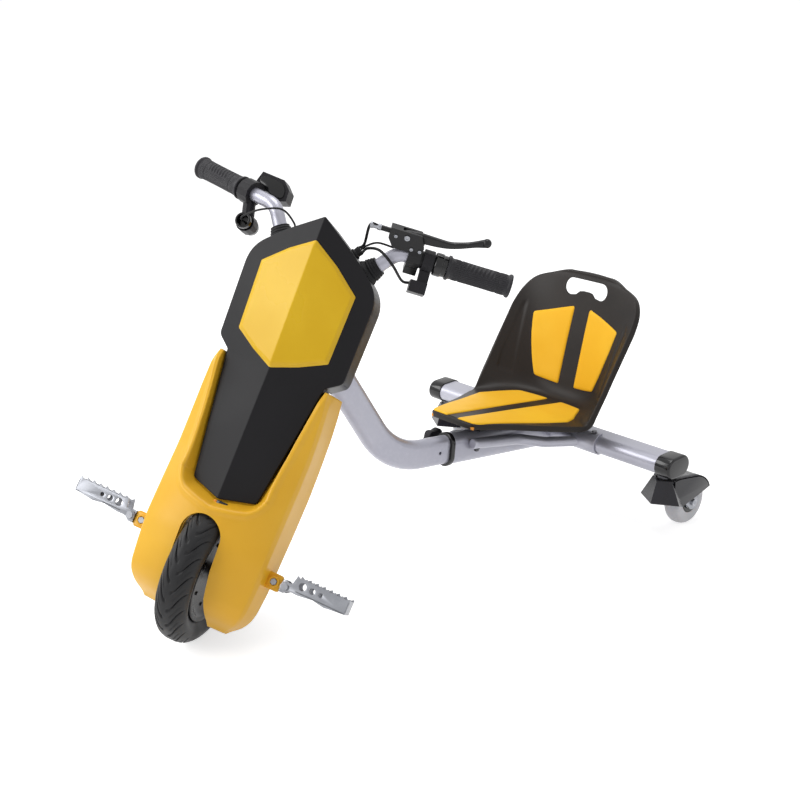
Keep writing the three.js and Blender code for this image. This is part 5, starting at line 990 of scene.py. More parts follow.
# %% The arch's inner wall
def arch_tunnel():
    """The arch's inner wall: a band along the arch's edge that leads back round the tyre with an even gap."""
    side_q = np.arange(-40.0, 44.5, 3.5)
    turn = np.linspace(0, np.pi, 49)
    p = np.r_[arch_half(side_q), 34 * np.cos(turn), -arch_half(side_q[::-1])]
    q = np.r_[side_q, 44.5 + 34 * np.sin(turn), side_q[::-1]]
    ahead, crown, out = eased(q, CREASE_AHEAD), eased(q, CROWN), eased(q, CREASE_OUT)
    face = ahead + (crown - ahead) * (1 - (p / out) ** 2)
    climb = np.clip((q - 44.5) / 34, 0, 1)[:, None]
    depth = np.linspace(4, 28, 7)[None]
    return on_front(np.repeat(p[:, None], 7, axis=1), q[:, None] + 0.8 * climb * depth,
        face[:, None] - 1.5 - depth * (1 - 0.35 * climb))


tunnel_mesh = skin("arch_tunnel", arch_tunnel(), around=False, inside=tuple(on_front(0.0, 20.0, 60.0)))
tunnel = place_piece("arch_tunnel", tunnel_mesh, "steering", "yellow_shell", angle=60)
walled(tunnel, TUNNEL_WALL)
print("arch tunnel faces", len(tunnel_mesh.polygons))

# %% [markdown]
# Two square ears on the shroud carry the footpeg bolts. They are stamped here from rounded outlines, with a
# raised ring round each bolt.

# %% Shroud ears
def rounded_rect(x0, x1, y0, y1, radius, steps=6):
    """Corner points of a rectangle with round corners, anticlockwise."""
    turn = np.linspace(0, np.pi / 2, steps)
    corners = [((x1 - radius, y1 - radius), 0), ((x0 + radius, y1 - radius), 1),
        ((x0 + radius, y0 + radius), 2), ((x1 - radius, y0 + radius), 3)]
    parts = [np.c_[cx + radius * np.cos(turn + k * np.pi / 2), cy + radius * np.sin(turn + k * np.pi / 2)]
        for (cx, cy), k in corners]
    return np.concatenate(parts)


def ear(side):
    """A plate 6 mm thick in the steering frame's p and q, with a ring on its face."""
    flat = plate("ear", rounded_rect(96, 130, 12, 38, 4.5), [], 6, on_front(0, 0, 14.0), LEFT, UP, 1.0)
    boss_profile = softened_profile([(5.6, 0), (9, 0), (9, 3), (5.6, 3), (5.6, 0)], 0.8)
    boss = turned_form("boss", boss_profile, on_front(118.0, 25.0, 16.6), AHEAD, 40, UP)
    whole = joined("ear", flat, boss)
    return whole if side > 0 else mirrored_front(whole)


for side, side_name in ((1, "left"), (-1, "right")):
    place_piece(f"shroud_ear_{side_name}", ear(side), "steering", "yellow_shell")


print("ears on both sides")

# %% [markdown]
# ## The fairing
# The black cover is a few flat facets folded along a ridge, like a tall shield that narrows to a tongue.
# It is drawn from its corner points, so the facets stay truly flat; a Bevel rounds the folds and Solidify
# gives it the thin wall of a moulding.

# %% Fairing cover
COVER_CORNERS = [(0, 551), (59.95, 515.5), (109, 477), (107, 337), (84, 320), (TIP_HALF, TIP_AT), (0, LOW_AT)]
FALL = 0.31


def ridge(q):
    """How far forward the ridge is at a level, two straight runs that meet at 316."""
    return np.where(q > 316, 99 + 48 * (q - 316) / 235, 73 + 26 * (q - 115) / 201)


def roof(p, q):
    """The fairing's face: the ridge less an even fall to both sides."""
    return ridge(q) - FALL * np.abs(p)


def cover_back(p, q):
    """Where the moulding ends behind: the back plane of the head, or the pocket's floor under the tongue."""
    head = 35 + (q - 356) * 0.156
    under = 65.8 - (q - 115) * 0.02 - 0.24 * np.abs(p)
    return np.where(q >= 319, head, under)


def cover_mesh():
    """Flat facets between the ridge, the outline and the moulding's back edge."""
    waist, middle_edge = (float(tongue_half(316.0)), 316.0), (108.1, 410.0)
    upper = softened_profile(COVER_CORNERS[:3] + [middle_edge], 26, 9).tolist()
    jaw = softened_profile([middle_edge] + COVER_CORNERS[3:5] + [waist], 7, 6).tolist()
    tongue = softened_profile([waist] + COVER_CORNERS[5:], 5, 4).tolist()
    half = upper + jaw[1:] + tongue[1:]
    outline = half + [(-p, q) for p, q in half[-2:0:-1]]
    n, at_waist, low = len(outline), len(upper) + len(jaw) - 2, len(half) - 1
    front_points = [on_front(float(p), float(q), float(roof(p, q))) for p, q in outline]
    back_points = [on_front(float(p), float(q), float(cover_back(p, q))) for p, q in outline]
    fold = [on_front(0.0, 316.0, 99.0)]
    points = np.array(front_points + back_points + fold)
    middle = 2 * n
    left_high = [*range(at_waist + 1), middle]
    right_high = [0, middle, *range(n - at_waist, n)]
    left_low = [middle, *range(at_waist, low + 1)]
    right_low = [middle, *range(low, n - at_waist + 1)]
    sides = [[i, (i + 1) % n, n + (i + 1) % n, n + i] for i in range(n)]
    return mesh_of("fairing_shield", points, [left_high, right_high, left_low, right_low] + sides,
        tuple(on_front(0.0, 400.0, 40.0)))


cover = place_piece("fairing_shield", cover_mesh(), "steering", "cover_plastic", "fairing_cover")
rounded_edges(cover, 3.2, angle=10, segments=4)
walled(cover, 2.6)
back_plate = softened("fairing_back", 0.8, "black_plastic", "steering")
NARROWED_SHARE = 0.022
narrower = np.eye(4)
narrower[:3, :3] -= NARROWED_SHARE * np.outer(LEFT, LEFT)
narrower[:3, 3] = NARROWED_SHARE * LEFT * float(LEFT @ FRONT_BASE)
back_plate.data.transform(Matrix(narrower.tolist()))
panel = softened("fairing_panel", 1.8, "yellow_panel", "steering", angle=8, segments=4)
print("cover facets:", len(cover.data.polygons), "panel facets:", len(panel.data.polygons))

# %% [markdown]
# ## The bucket seat
# One moulded shell runs from the pan's front to the top of the back, with side wings and a folded rim. It
# is given by two lines, the middle and the edge, as shares of the seat's depth, height and width; every
# point between them follows a power of its distance out. A hand hole is cut near the top.

# %% Seat surface
RIM_RADIUS, RIM_DEPTH, SEAT_WALL, WING_SUNK = 3.0, 10.0, 2.6, 1.6
SEAT_HALF, SEAT_DEPTH, SEAT_START, SEAT_LOW, SEAT_RISE = 144.5, 369.0, -260.0, 222.6, 182.4
SEAT_ROWS = np.array([
    [0, 0, .366, .008, -.008], [.02, -.004, .39, .03, -.012], [.16, -.05, .56, .17, -.06],
    [.33, -.105, .755, .333, -.13],
    [.48, -.155, .94, .48, -.185], [.6, -.197, .985, .537, -.19], [.72, -.238, .985, .57, -.11],
    [.78, -.242, .986, .607, -.01],
    [.815, -.18, .988, .645, .09], [.838, -.04, .99, .69, .215], [.87, .18, .996, .745, .365],
    [.905, .41, 1, .8, .51],
    [.94, .625, 1, .848, .633], [.968, .8, .955, .905, .77], [.988, .925, .83, .95, .88],
    [.998, .98, .56, .985, .955], [1, 1, .34, .998, 1]])


def along_rows(place):
    """Smooth values of all five columns at places between the rows, with slopes from the neighbours."""
    last = len(SEAT_ROWS) - 1
    i = np.clip(np.floor(place).astype(int), 0, last - 1)
    t = (place - i)[..., None]
    a, b, c, d = (SEAT_ROWS[np.clip(i + k, 0, last)] for k in (-1, 0, 1, 2))
    rise = t * t * (3 - 2 * t)
    return b + (c - b) * rise + (c - a) / 2 * t * (1 - t) ** 2 - (d - b) / 2 * t * t * (1 - t)


def seat_point(place, x):
    """A point of the seat: middle line and edge line mixed by (distance out over half width) to
    the power 2.6."""
    place, x = np.broadcast_arrays(np.asarray(place, float), np.asarray(x, float))
    back, up, out, edge_back, edge_up = np.moveaxis(along_rows(place), -1, 0)
    share = np.minimum(np.abs(x) / (out * SEAT_HALF), 1) ** 2.6
    y = SEAT_START + SEAT_DEPTH * (back + (edge_back - back) * share)
    z = SEAT_LOW + SEAT_RISE * (up + (edge_up - up) * share)
    return on_rear(x, y, z)


def seat_normal(place, x):
    """Unit normal on the rider's side, from small steps both ways."""
    place, x = np.broadcast_arrays(np.asarray(place, float), np.asarray(x, float))
    half = along_rows(place)[..., 2] * SEAT_HALF
    inside = np.sign(x) * np.minimum(np.abs(x), half - 1)
    along = seat_point(np.clip(place + 0.05, 0, 16), inside) - seat_point(np.clip(place - 0.05, 0, 16),
        inside)
    across = seat_point(place, inside + 0.5) - seat_point(place, inside - 0.5)
    return unit(np.cross(across, along))


print("seat rows", len(SEAT_ROWS))

# %% [markdown]
# The shell's front corners are eased by narrowing its first rows, and its wings are lightly recessed by
# sinking the surface along its own normal.

# %% The shell's rider side
def wing_recess(place, share):
    """A shallow three-cornered recess in each side wing, 1 at its floor."""
    low = np.clip((place - 7.6) / 0.35, 0, 1)
    high = np.clip((12.2 - place) / 0.5, 0, 1)
    inner = np.clip((np.abs(share) - (0.74 + 0.02 * (place - 7.6))) / 0.035, 0, 1)
    outer = np.clip((0.945 - 0.012 * np.abs(place - 9) - np.abs(share)) / 0.03, 0, 1)
    return low * high * inner * outer


def seat_grid(rows=190, columns=131):
    """The shell's rider side as a grid, its front corners eased and its wings lightly recessed."""
    place = np.linspace(0, 16, rows)[:, None]
    share = np.sin(np.linspace(-1, 1, columns) * np.pi / 2 * 0.92) / math.sin(np.pi / 2 * 0.92)
    half = along_rows(place[:, 0])[:, 2] * SEAT_HALF - RIM_RADIUS
    half = half * (1 - 0.07 * np.clip(1 - place[:, 0] / 0.4, 0, 1) ** 2)
    x = half[:, None] * share[None]
    sunk = WING_SUNK * wing_recess(place, share[None])
    return seat_point(place, x) - MILLI * sunk[..., None] * seat_normal(place, x), seat_normal(place, x)


print("seat face ready")

# %% [markdown]
# The rim of the real seat folds back, which makes the thin shell stiff. It is a quarter circle carried
# round the border, and the hand hole is cut last.

# %% Rim and hand hole
def rim_grid(grid, normal, radius=RIM_RADIUS, depth=RIM_DEPTH):
    """The folded rim: round the border it turns over by a quarter circle and runs back along the normal."""
    loop = np.concatenate([grid[0, :-1], grid[:-1, -1], grid[-1, :0:-1], grid[:0:-1, 0]])
    n = np.concatenate([normal[0, :-1], normal[:-1, -1], normal[-1, :0:-1], normal[:0:-1, 0]])
    way = unit(np.roll(loop, -1, axis=0) - np.roll(loop, 1, axis=0))
    out = unit(np.cross(way, n))
    for _ in range(6):
        out = unit(np.roll(out, 1, axis=0) + 2 * out + np.roll(out, -1, axis=0))
        n = unit(np.roll(n, 1, axis=0) + 2 * n + np.roll(n, -1, axis=0))
    turn = np.linspace(0, np.pi / 2, 6)
    side = np.r_[radius * np.sin(turn), radius, radius]
    down = np.r_[radius * (1 - np.cos(turn)), radius + (depth - radius) / 2, depth]
    return loop[None] + MILLI * (side[:, None, None] * out[None] - down[:, None, None] * n[None])


def hand_hole_tool():
    """A round-ended slot whose lower edge rises in the middle, run straight through the back."""
    turn = np.linspace(-np.pi / 2, np.pi / 2, 14)
    right = np.c_[35 + 15.5 * np.cos(turn), 15.5 * np.sin(turn)]
    left = np.c_[-35 - 15.5 * np.cos(turn), -15.5 * np.sin(turn)]
    low = np.array([[-23, -13.5], [-15, -6.6], [-7, -5.2], [7, -5.2], [15, -6.6], [23, -13.5]])
    line = np.concatenate([right, left, low])
    grid = np.stack([on_rear(line[:, 0], y, 378.5 + line[:, 1]) for y in (40.0, 170.0)])
    return skin("hole", grid)


seat_face, seat_out = seat_grid()
behind_seat = tuple(on_rear(0.0, 170.0, 40.0))
face_mesh = skin("seat_face", seat_face, around=False, inside=behind_seat)
rim_mesh = skin("seat_rim", rim_grid(seat_face, seat_out), capped=False, inside=behind_seat)
seat_mesh = joined("bucket_seat", face_mesh, rim_mesh)
tidy_mesh(seat_mesh, behind_seat, merge=2e-5)
seat = place_piece("bucket_seat", seat_mesh, "rear_frame", "seat_plastic", "seat_shell", angle=60)
walled(seat, SEAT_WALL)
drilled(seat, hand_hole_tool())
smooth(seat.data, 50)
print("seat faces:", len(seat.data.polygons))

# %% [markdown]
# Four thin pads sit in the seat: two in the back and two in the pan. On the real seat they are moulded
# foam under smooth orange vinyl, flat in the middle with softly rolled edges and round corners. They are
# too thin and stiff to puff like a cushion, so each is a crowned form worked out over its outline instead
# of a simulation.

# %% Pads
PAD_SUNK, PAD_ROLL, PAD_CROWN = 1.0, 3.4, 1.4
PAN_PAD = np.array([
    [.55, .088, .5, .33], [1.5, .09, 1.5, .44], [2.5, .093, 2.5, .57], [3.5, .097, 3.4, .7],
    [4.3, .1, 4.1, .775],
    [5, .103, 4.9, .72], [5.6, .106, 5.5, .62], [6.25, .11, 6.1, .52]])
BACK_PAD = np.array([
    [8.45, .131, 8.45, .5], [9, .13, 9, .545], [9.6, .129, 9.5, .59], [10.2, .128, 10, .63],
    [10.8, .127, 10.5, .665],
    [11.4, .125, 11, .69], [12.25, .123, 11.55, .712]])
finish("orange_pad", "#FDC524", "#F8BC1B", "#FFD560", 0.5, rough_spread=0.1, grain=520, lift=0.00009,
    patch=10, wear=0.2, sheen=0.04, speckle=0.1, subsurface=0.02, specular=0.25)


def pad_mesh(name, outline, side, columns=44, rows=110):
    """Top: outline mixed across and along, corners rounded by shrinking the end rows, height by rolled edges
    and a low crown. Bottom: the same points sunk into the seat."""
    t = np.linspace(0, 1, rows)
    v = 0.5 - 0.5 * np.cos(np.pi * t) * (0.7 + 0.3 * np.abs(np.cos(np.pi * t)))
    at = v * (len(outline) - 1)
    knots = np.arange(len(outline))
    line = np.stack([np.interp(at, knots, outline[:, k]) for k in range(4)], axis=-1)
    near_end = np.clip(1 - np.minimum(v, 1 - v) / 0.045, 0, 1)
    shrink = 1 - 0.085 * (1 - np.sqrt(1 - near_end ** 2))
    u = 0.5 - 0.5 * np.cos(np.linspace(0, np.pi, columns))
    u = 0.5 + (u[None] - 0.5) * shrink[:, None]
    place = line[:, :1] + (line[:, 2:3] - line[:, :1]) * u
    x = side * SEAT_HALF * (line[:, 1:2] + (line[:, 3:4] - line[:, 1:2]) * u)
    across = np.abs(2 * (u - 0.5) / shrink[:, None])
    lengthwise = np.abs(2 * v - 1)[:, None]
    roll = ((1 - across ** 14) * (1 - lengthwise ** 26)) ** 0.5
    crown = (1 - across ** 2) * (1 - lengthwise ** 4)
    height = -PAD_SUNK + PAD_ROLL * roll + PAD_CROWN * crown
    top = seat_point(place, x) + MILLI * height[..., None] * seat_normal(place, x)
    low = seat_point(place, x) - MILLI * PAD_SUNK * seat_normal(place, x)
    up = skin("pad_top", top, around=False, inside=tuple(low.mean((0, 1))))
    down = skin("pad_low", low, around=False, inside=tuple(top.mean((0, 1))))
    whole = joined(name, up, down)
    tidy_mesh(whole, merge=3e-5)
    return whole


for part, outline in (("pan", PAN_PAD), ("back", BACK_PAD)):
    for side, side_name in ((1, "left"), (-1, "right")):
        pad = place_piece(f"soft_{part}_pad_{side_name}", pad_mesh("pad", outline, side), "rear_frame",
            "orange_pad", f"{part}_pad_{side_name}", angle=60)


print("four pads, each", len(pad.data.polygons), "faces")

# %% [markdown]
# Small orange clips show below the pan's edge, where the pads are hooked through the shell.

# %% Pad clips
def clip_mesh(place, share, side):
    """A rounded tab under the seat's edge, standing on the seat's own normal."""
    half = float(along_rows(np.array([place]))[0, 2]) * SEAT_HALF
    spot = seat_point(place, side * half * share)
    normal = seat_normal(place, side * half * share)
    along = unit(seat_point(place + 0.1, side * half * share) - seat_point(place - 0.1, side * half * share))
    return plate("clip", rounded_rect(-5, 5, -3.4, 3.4, 1.6), [], 5.0, spot - MILLI * 7.6 * normal, along,
        np.cross(normal, along), 0.9)


clips = [clip_mesh(place, 0.93, side) for side in (1, -1) for place in (0.45, 2.0, 4.15)]
place_piece("pad_clips", joined("pad_clips", *clips), "rear_frame", "clip_orange")
print("clips:", len(clips))

# %% [markdown]
# ## The frame
# The tubes are flat ovals, drawn steel with a thin wall and silver paint. Each is one section carried
# along its line; the neck is a straight run, a wide bend and a straight run up to the head tube.

# %% Main tube, beam, collar and caps
SLOPE = math.radians(8.67)


def tube_line(forward, x=0.0):
    """A point of the main tube's centre line, a distance in front of the beam's axis."""
    forward = np.asarray(forward, float)
    return on_rear(x + 0 * forward, -forward, 124.3 + forward * math.tan(SLOPE))


def inset_ovals(width, height, insets, steps=24):
    """Flat ovals of the same middle, each smaller all round by its inset."""
    return np.stack([flat_oval(width - 2 * i, height - 2 * i, steps) for i in insets])


main_path = tube_line(np.linspace(276, -18, 40))
place_piece("frame_tube", swept("frame_tube", main_path, flat_oval(34, 57, 24)), "rear_frame",
    "silver_paint", "main_tube")

beam_path = on_rear(np.linspace(-299, 299, 40), 0.0, 134.0)
place_piece("beam_tube", swept("beam_tube", beam_path, flat_oval(57, 34, 24), side=(0, 1, 0)), "rear_frame",
    "silver_paint", "rear_beam")

nose = np.array([-5.3, -4.9, -4.0, 3.4, 4.3, 4.7])
collar_path = tube_line(276 - nose / math.cos(0) * math.cos(SLOPE))[::-1]
collar_rows = inset_ovals(39, 62, [1.4, 0.4, 0.0, 0.0, 0.4, 1.4])
place_piece("slide_collar", swept("slide_collar", collar_path, collar_rows), "rear_frame", "gloss_black",
    "tube_collar")


def cap_mesh(side):
    """A push-on cap: straight sleeve, then a crown that closes in a rounded edge."""
    turn = np.linspace(0, np.pi / 2, 7)
    x = np.r_[270.0, 270.6, 272.0, 297.0, 297.0 + 4.9 * np.sin(turn[1:])]
    inset = np.r_[1.0, 0.3, 0.0, 0.0, 4.9 * (1 - np.cos(turn[1:])) * 0.8]
    rows = inset_ovals(61.6, 38.6, inset)
    return swept("cap", on_rear(side * x, 0.0, 134.0), rows, side=(0, 1, 0))


for side, side_name in ((1, "left"), (-1, "right")):
    place_piece(f"end_cap_{side_name}", cap_mesh(side), "rear_frame", "gloss_black", f"beam_cap_{side_name}")


print("tubes and caps placed")

# %% Bent neck
def neck_line(steps=40):
    """The neck's centre line: straight along the main tube, an arc of 152 mm, straight to the
    steering head."""
    join = np.array([0, -800 + 400 * 0.579281, 129.056 + 400 * 0.815128])
    upper = np.array([0, -math.cos(math.radians(59.5)), math.sin(math.radians(59.5))])
    ahead = np.array([0, -math.cos(SLOPE), math.sin(SLOPE)])
    start = np.array([0, -168.0, 124.3 + 168 * math.tan(SLOPE)])
    gap = join - start
    along = (gap[1] * -upper[2] + gap[2] * upper[1]) / (ahead[1] * -upper[2] + ahead[2] * upper[1])
    corner = start + ahead * along
    turn = math.acos(float(ahead @ upper))
    bend_start = corner - ahead * 152 * math.tan(turn / 2)
    normal = np.array([0, ahead[2], -ahead[1]])
    angle = np.linspace(0, turn, steps)[:, None]
    arc = bend_start + ahead * 152 * np.sin(angle) + normal * 152 * (1 - np.cos(angle))
    straight = start + (bend_start - start) * np.linspace(0, 1, 12, endpoint=False)[:, None]
    last = arc[-1] + (join - arc[-1]) * np.linspace(0, 1, 10)[1:, None]
    line = np.concatenate([straight, arc, last])
    return on_rear(line[:, 0], line[:, 1], line[:, 2])


def rod_mesh(start, axis, radius, length, sides=32):
    """A closed round rod, for drilling."""
    return turned_form("rod", [(0, 0), (radius, 0), (radius, length), (0, length)], start, axis, sides,
        (0, 0.3, 1))


neck = place_piece("bent_neck", swept("bent_neck", neck_line(), flat_oval(29.4, 52.4, 24)), "neck",
    "silver_paint", "gooseneck_tube")
pin_tools = [rod_mesh(tube_line(304 - 42 * i, 3.0), (1, 0, 0), 3.1, 30) for i in range(4)]
drilled(neck, rod_mesh(FRONT_BASE + MILLI * 290 * UP, UP, 20.2, 230, 48), *pin_tools)
smooth(neck.data, 40)
head_profile = softened_profile([(17, 0), (20, 0), (20, 110), (17, 110), (17, 0)], 0.8)
place_piece("steering_head", turned_form("steering_head", head_profile, FRONT_BASE + MILLI * 345 * UP, UP,
    72), "neck", "silver_paint", "head_tube")
for label, height in (("headset_upper", 455.3), ("headset_lower", 333.3)):
    cup = softened_profile([(13.4, 0), (22.5, 0), (22.5, 11.4), (13.4, 11.4), (13.4, 0)], 2.2, 5)
    place_piece(f"turned_{label}", turned_form(label, cup, FRONT_BASE + MILLI * height * UP, UP, 72),
        "neck", "gloss_black", label)


print("neck faces:", len(neck.data.polygons))

# %% [markdown]
# Two bent round tubes brace the beam to the main tube. Each ends in a folded saddle plate round the beam,
# held by two hexagon bolts, with another bolt under the tube at its front.

# %% Side braces
def hex_bolt(start, axis, across, height, washer=1.25):
    """A six-sided head with a chamfered top on a thin round washer."""
    head = turned_form("head", [(0, 0), (across, 0), (across, height * 0.8), (across * 0.86, height),
        (0, height)], start, axis, 6, (0.3, 0.5, 1))
    ring_form = turned_form("washer", [(0, -1.2), (across * washer, -1.2), (across * washer, 0.1),
        (0, 0.1)], start, axis, 28, (0.3, 0.5, 1))
    return joined("bolt", head, ring_form)


def brace_mesh():
    """Round tube on its rounded path, with the saddle's folded plate, all on the left side."""
    x = 27.05
    corners = [on_rear(*map(float, p)) for p in ((x, -236, 172), (x, -118, 146), (52, -74, 134),
        (90, -24, 132))]
    path = resampled(rounded_path(corners, 39 * MILLI, 16), 90)
    size = np.ones(90)
    size[:3] = [0.8, 0.95, 1.0]
    tube = swept("tube", path, ring(9.75, 40), side=(0, 0, 1), scale=size)
    turn = np.linspace(np.pi / 2, -np.pi / 2, 30)
    y = np.r_[-6.5, -11.5 - 20.3 * np.cos(turn), -6.5]
    z = np.r_[20.3, 20.3 * np.sin(turn), -20.3]
    outer = np.c_[y, z]
    inner = np.c_[np.r_[-6.5, -11.5 - 17.4 * np.cos(turn), -6.5], np.r_[17.4, 17.4 * np.sin(turn), -17.4]]
    line = np.concatenate([outer, inner[::-1]])
    across_x = np.array([80.0, 80.5, 133.5, 134.0])
    shrink = np.array([0.5, 0.0, 0.0, 0.5])
    middle = np.concatenate([(outer + inner) / 2, ((outer + inner) / 2)[::-1]])
    grid = np.stack([on_rear(ax, *(line + (middle - line) * s * 0.4).T[:1],
        134 + (line + (middle - line) * s * 0.4).T[1]) for ax, s in zip(across_x, shrink)])
    saddle = skin("saddle", grid)
    bolts = [hex_bolt(on_rear(float(bx), -15.0, 154.2), (0, 0, 1), 5.2, 4.2) for bx in (93, 121)]
    bolts.append(hex_bolt(on_rear(x, -226.0, 160.6), (0, 0, -1), 5.0, 5.0))
    return joined("brace", tube, saddle), joined("bolts", *bolts)


brace_left, bolts_left = brace_mesh()
for side_name, form, bolts in (("left", brace_left, bolts_left),
        ("right", mirrored_rear(brace_left), mirrored_rear(bolts_left))):
    place_piece(f"side_brace_{side_name}", form, "rear_frame", "silver_paint", f"brace_{side_name}")
    place_piece(f"brace_bolts_{side_name}", bolts, "rear_frame", "dark_steel", angle=25)
bracket = softened("seat_bracket", 0.8, "black_paint", "rear_frame")
print("braces placed; bracket facets:", len(bracket.data.polygons))

# %% Length knob
def lobed_outline(radius, lobes, depth, count=120):
    """A circle pulled in evenly between its lobes."""
    turn = np.arange(count) * 2 * np.pi / count
    r = radius - depth * (1 - np.cos(lobes * turn)) / 2
    return np.c_[r * np.cos(turn), r * np.sin(turn)]


knob_axis = np.array([-1.0, 0, 0])
knob_at = tube_line(262.0)
knob_head = plate("knob", lobed_outline(25, 6, 4), [], 16, knob_at + MILLI * (17.3 + 21 + 8) * knob_axis,
    (0, 1, 0), (0, 0, -1), 3.0)
knob_boss = turned_form("boss", softened_profile([(0, 0), (7, 0), (7.6, 16), (10, 21.5), (0, 21.5)], 1.5),
    knob_at + MILLI * 17.3 * knob_axis, knob_axis, 40)
knob_screw = turned_form("screw", [(0, 0), (4, 0), (4, 23), (0, 23)], knob_at + MILLI * 15.0 * knob_axis,
    knob_axis, 24)
place_piece("star_knob", joined("star_knob", knob_head, knob_boss, knob_screw), "length_knob",
    "black_plastic", "length_knob")


print("knob placed")

# %% [markdown]
# ## The casters
# A stamped fork trails behind its king bolt and holds a pale, slightly see-through wheel. A faceted
# violet-black fender hangs over it and ends in a pointed tail, which is rounder here than on the real
# one.

# %% Caster forks
CASTER_OUT, CASTER_TRAIL, CASTER_HIGH = 271.2, 60.0, 44.7
FORK_EYE, FORK_SIDE_OUT, FORK_SHEET, FORK_HOLE = 14, 19.5, 2.8, 4.3


def fork_side():
    """Outline of a fork plate as (back, up): square at the top, round about the axle."""
    turn = 0.35 * np.pi - 1.2 * np.pi * np.linspace(1, 0, 28)
    eye = np.c_[CASTER_TRAIL + FORK_EYE * np.cos(turn), CASTER_HIGH + FORK_EYE * np.sin(turn)]
    return np.concatenate([[(-7, 103.7), (-7, 92)], eye, [(13, 103.7)]])


def caster_fork_mesh(x):
    """Two plates and a top plate, folded from one sheet."""
    hole = ring(FORK_HOLE, 28) + [CASTER_TRAIL, CASTER_HIGH]
    sides = [plate("side", fork_side(), [hole], FORK_SHEET, on_rear(x + s * FORK_SIDE_OUT, 0.0, 0.0),
        (0, 1, 0), (0, 0, 1), 0.6) for s in (1, -1)]
    top = plate("top", rounded_rect(-20.9, 20.9, -7, 13, 2.0), [ring(5, 28)], 3.2, on_rear(x, 0.0, 102.1),
        (1, 0, 0), (0, 1, 0), 0.6)
    return joined("fork", top, *sides)


print("fork outline ready")

# %% [markdown]
# The wheel is pale resin with a black ring pressed into each face, on a bolt with nuts and spacers. All
# of it is turned, the nuts with only six sides.

# %% Caster wheels and bolts
TREAD_AT, TREAD_BULGE, TREAD_HALF = 35.7, 9, 14.5


def caster_wheel_mesh(x):
    """Turned wheel: hub boss, dished face, rounded tread."""
    turn = np.linspace(-np.pi / 2, np.pi / 2, 15)
    tread = np.c_[TREAD_AT + TREAD_BULGE * np.cos(turn), TREAD_HALF * np.sin(turn)]
    profile = np.concatenate([[(4.4, -16), (11, -16), (12.5, -14.8), (14, -13.2), (20, -13), (22, -14.6)],
        tread, [(22, 14.6), (20, 13), (14, 13.2), (12.5, 14.8), (11, 16), (4.4, 16), (4.4, -16)]])
    return turned_form("wheel", profile, on_rear(x, CASTER_TRAIL, CASTER_HIGH), (1, 0, 0), 96)


def hub_ring_mesh(x):
    """Black ring pressed into each face of the wheel."""
    made = []
    for s in (1, -1):
        profile = softened_profile([(13.4, 0), (21.6, 0), (21.6, 1.8), (13.4, 1.8), (13.4, 0)], 0.5)
        made.append(turned_form("ring", profile, on_rear(x + s * 12.9, CASTER_TRAIL, CASTER_HIGH),
            (s, 0, 0), 72))
    return joined("ring", *made)


def axle_mesh(x):
    """Bolt through the wheel with a nut and a spacer on each side."""
    made = [turned_form("rod", softened_profile([(0, -25.9), (4, -25.9), (4, 25.9), (0, 25.9)], 0.8),
        on_rear(x, CASTER_TRAIL, CASTER_HIGH), (1, 0, 0), 32)]
    for s in (1, -1):
        made.append(turned_form("nut", [(0, 0), (7, 0), (7, 3.4), (6, 4.4), (0, 4.4)],
            on_rear(x + s * 21.2, CASTER_TRAIL, CASTER_HIGH), (s, 0, 0), 6))
        made.append(turned_form("spacer", [(0, 0), (7.5, 0), (7.5, 1.5), (0, 1.5)],
            on_rear(x + s * 16.3, CASTER_TRAIL, CASTER_HIGH), (s, 0, 0), 36))
    return joined("axle", *made)


print("wheel parts ready")

# %% [markdown]
# The fender is one moulding: a faceted apron in front and a guard arched over the wheel. The arch comes
# closer to the wheel towards its tail but stays clear of it all along, so that the wheel can turn freely.

# %% Caster fenders
FENDER_WALL, FENDER_HALF, FENDER_TOP = 2.4, 24.0, 106.5
FENDER_ARCH = [(0, 106.4), (14, 106.0), (34, 102.5), (56, 98), (72, 94.6), (84, 89), (94, 81), (101, 72.5),
    (104.6, 64.5)]
FENDER_CROWN, FENDER_HOLE, CROWN_SHARE = 22, 15.2, 0.97
FENDER_FEET = [(24, 26, 48), (43, -12, 67), (0, -38, 67), (-43, -12, 67), (-24, 26, 48)]


def fender_meshes(x):
    """The apron's four facets, its top plate, the arched guard over the wheel and the guard's two sides."""
    turn = np.radians([48, -18, -90, -162, -228])
    crown = np.c_[FENDER_CROWN * np.cos(turn), FENDER_CROWN * np.sin(turn), np.full(5, FENDER_TOP)]
    feet = np.array(FENDER_FEET, float)
    rows = [feet, crown]
    apron = np.array([[(x + a, b, c) for a, b, c in row] for row in rows])
    inside = tuple(on_rear(x, 10.0, 60.0))
    apron_mesh = skin("apron", on_rear(apron[..., 0], apron[..., 1], apron[..., 2]), around=False,
        inside=inside)
    arch = curved([(0.0, a, b) for a, b in FENDER_ARCH], 8)
    across = np.linspace(-FENDER_HALF, FENDER_HALF, 5)
    guard = on_rear(x + across[None] * np.ones((len(arch), 1)), arch[:, 1:2] * np.ones((1, 5)),
        arch[:, 2:3] * np.ones((1, 5)))
    guard_mesh = skin("guard", guard, around=False, inside=inside)
    outline = np.concatenate([arch[:, 1:], [(104.8, 63.4), (72, 56), (26, 48), (7, 67), (0, 68)]])
    sides = [plate("side", outline, [], FENDER_WALL,
        on_rear(x + s * (FENDER_HALF - FENDER_WALL / 2), 0.0, 0.0), (0, 1, 0), (0, 0, 1), 0.4)
        for s in (1, -1)]
    top = plate("top", crown[:, :2] * CROWN_SHARE, [ring(FENDER_HOLE, 40)], FENDER_WALL,
        on_rear(x, 0.0, FENDER_TOP - FENDER_WALL / 2), (1, 0, 0), (0, 1, 0), 0.4)
    return apron_mesh, guard_mesh, joined("fender_sides", *sides, top)


print("fender forms ready")

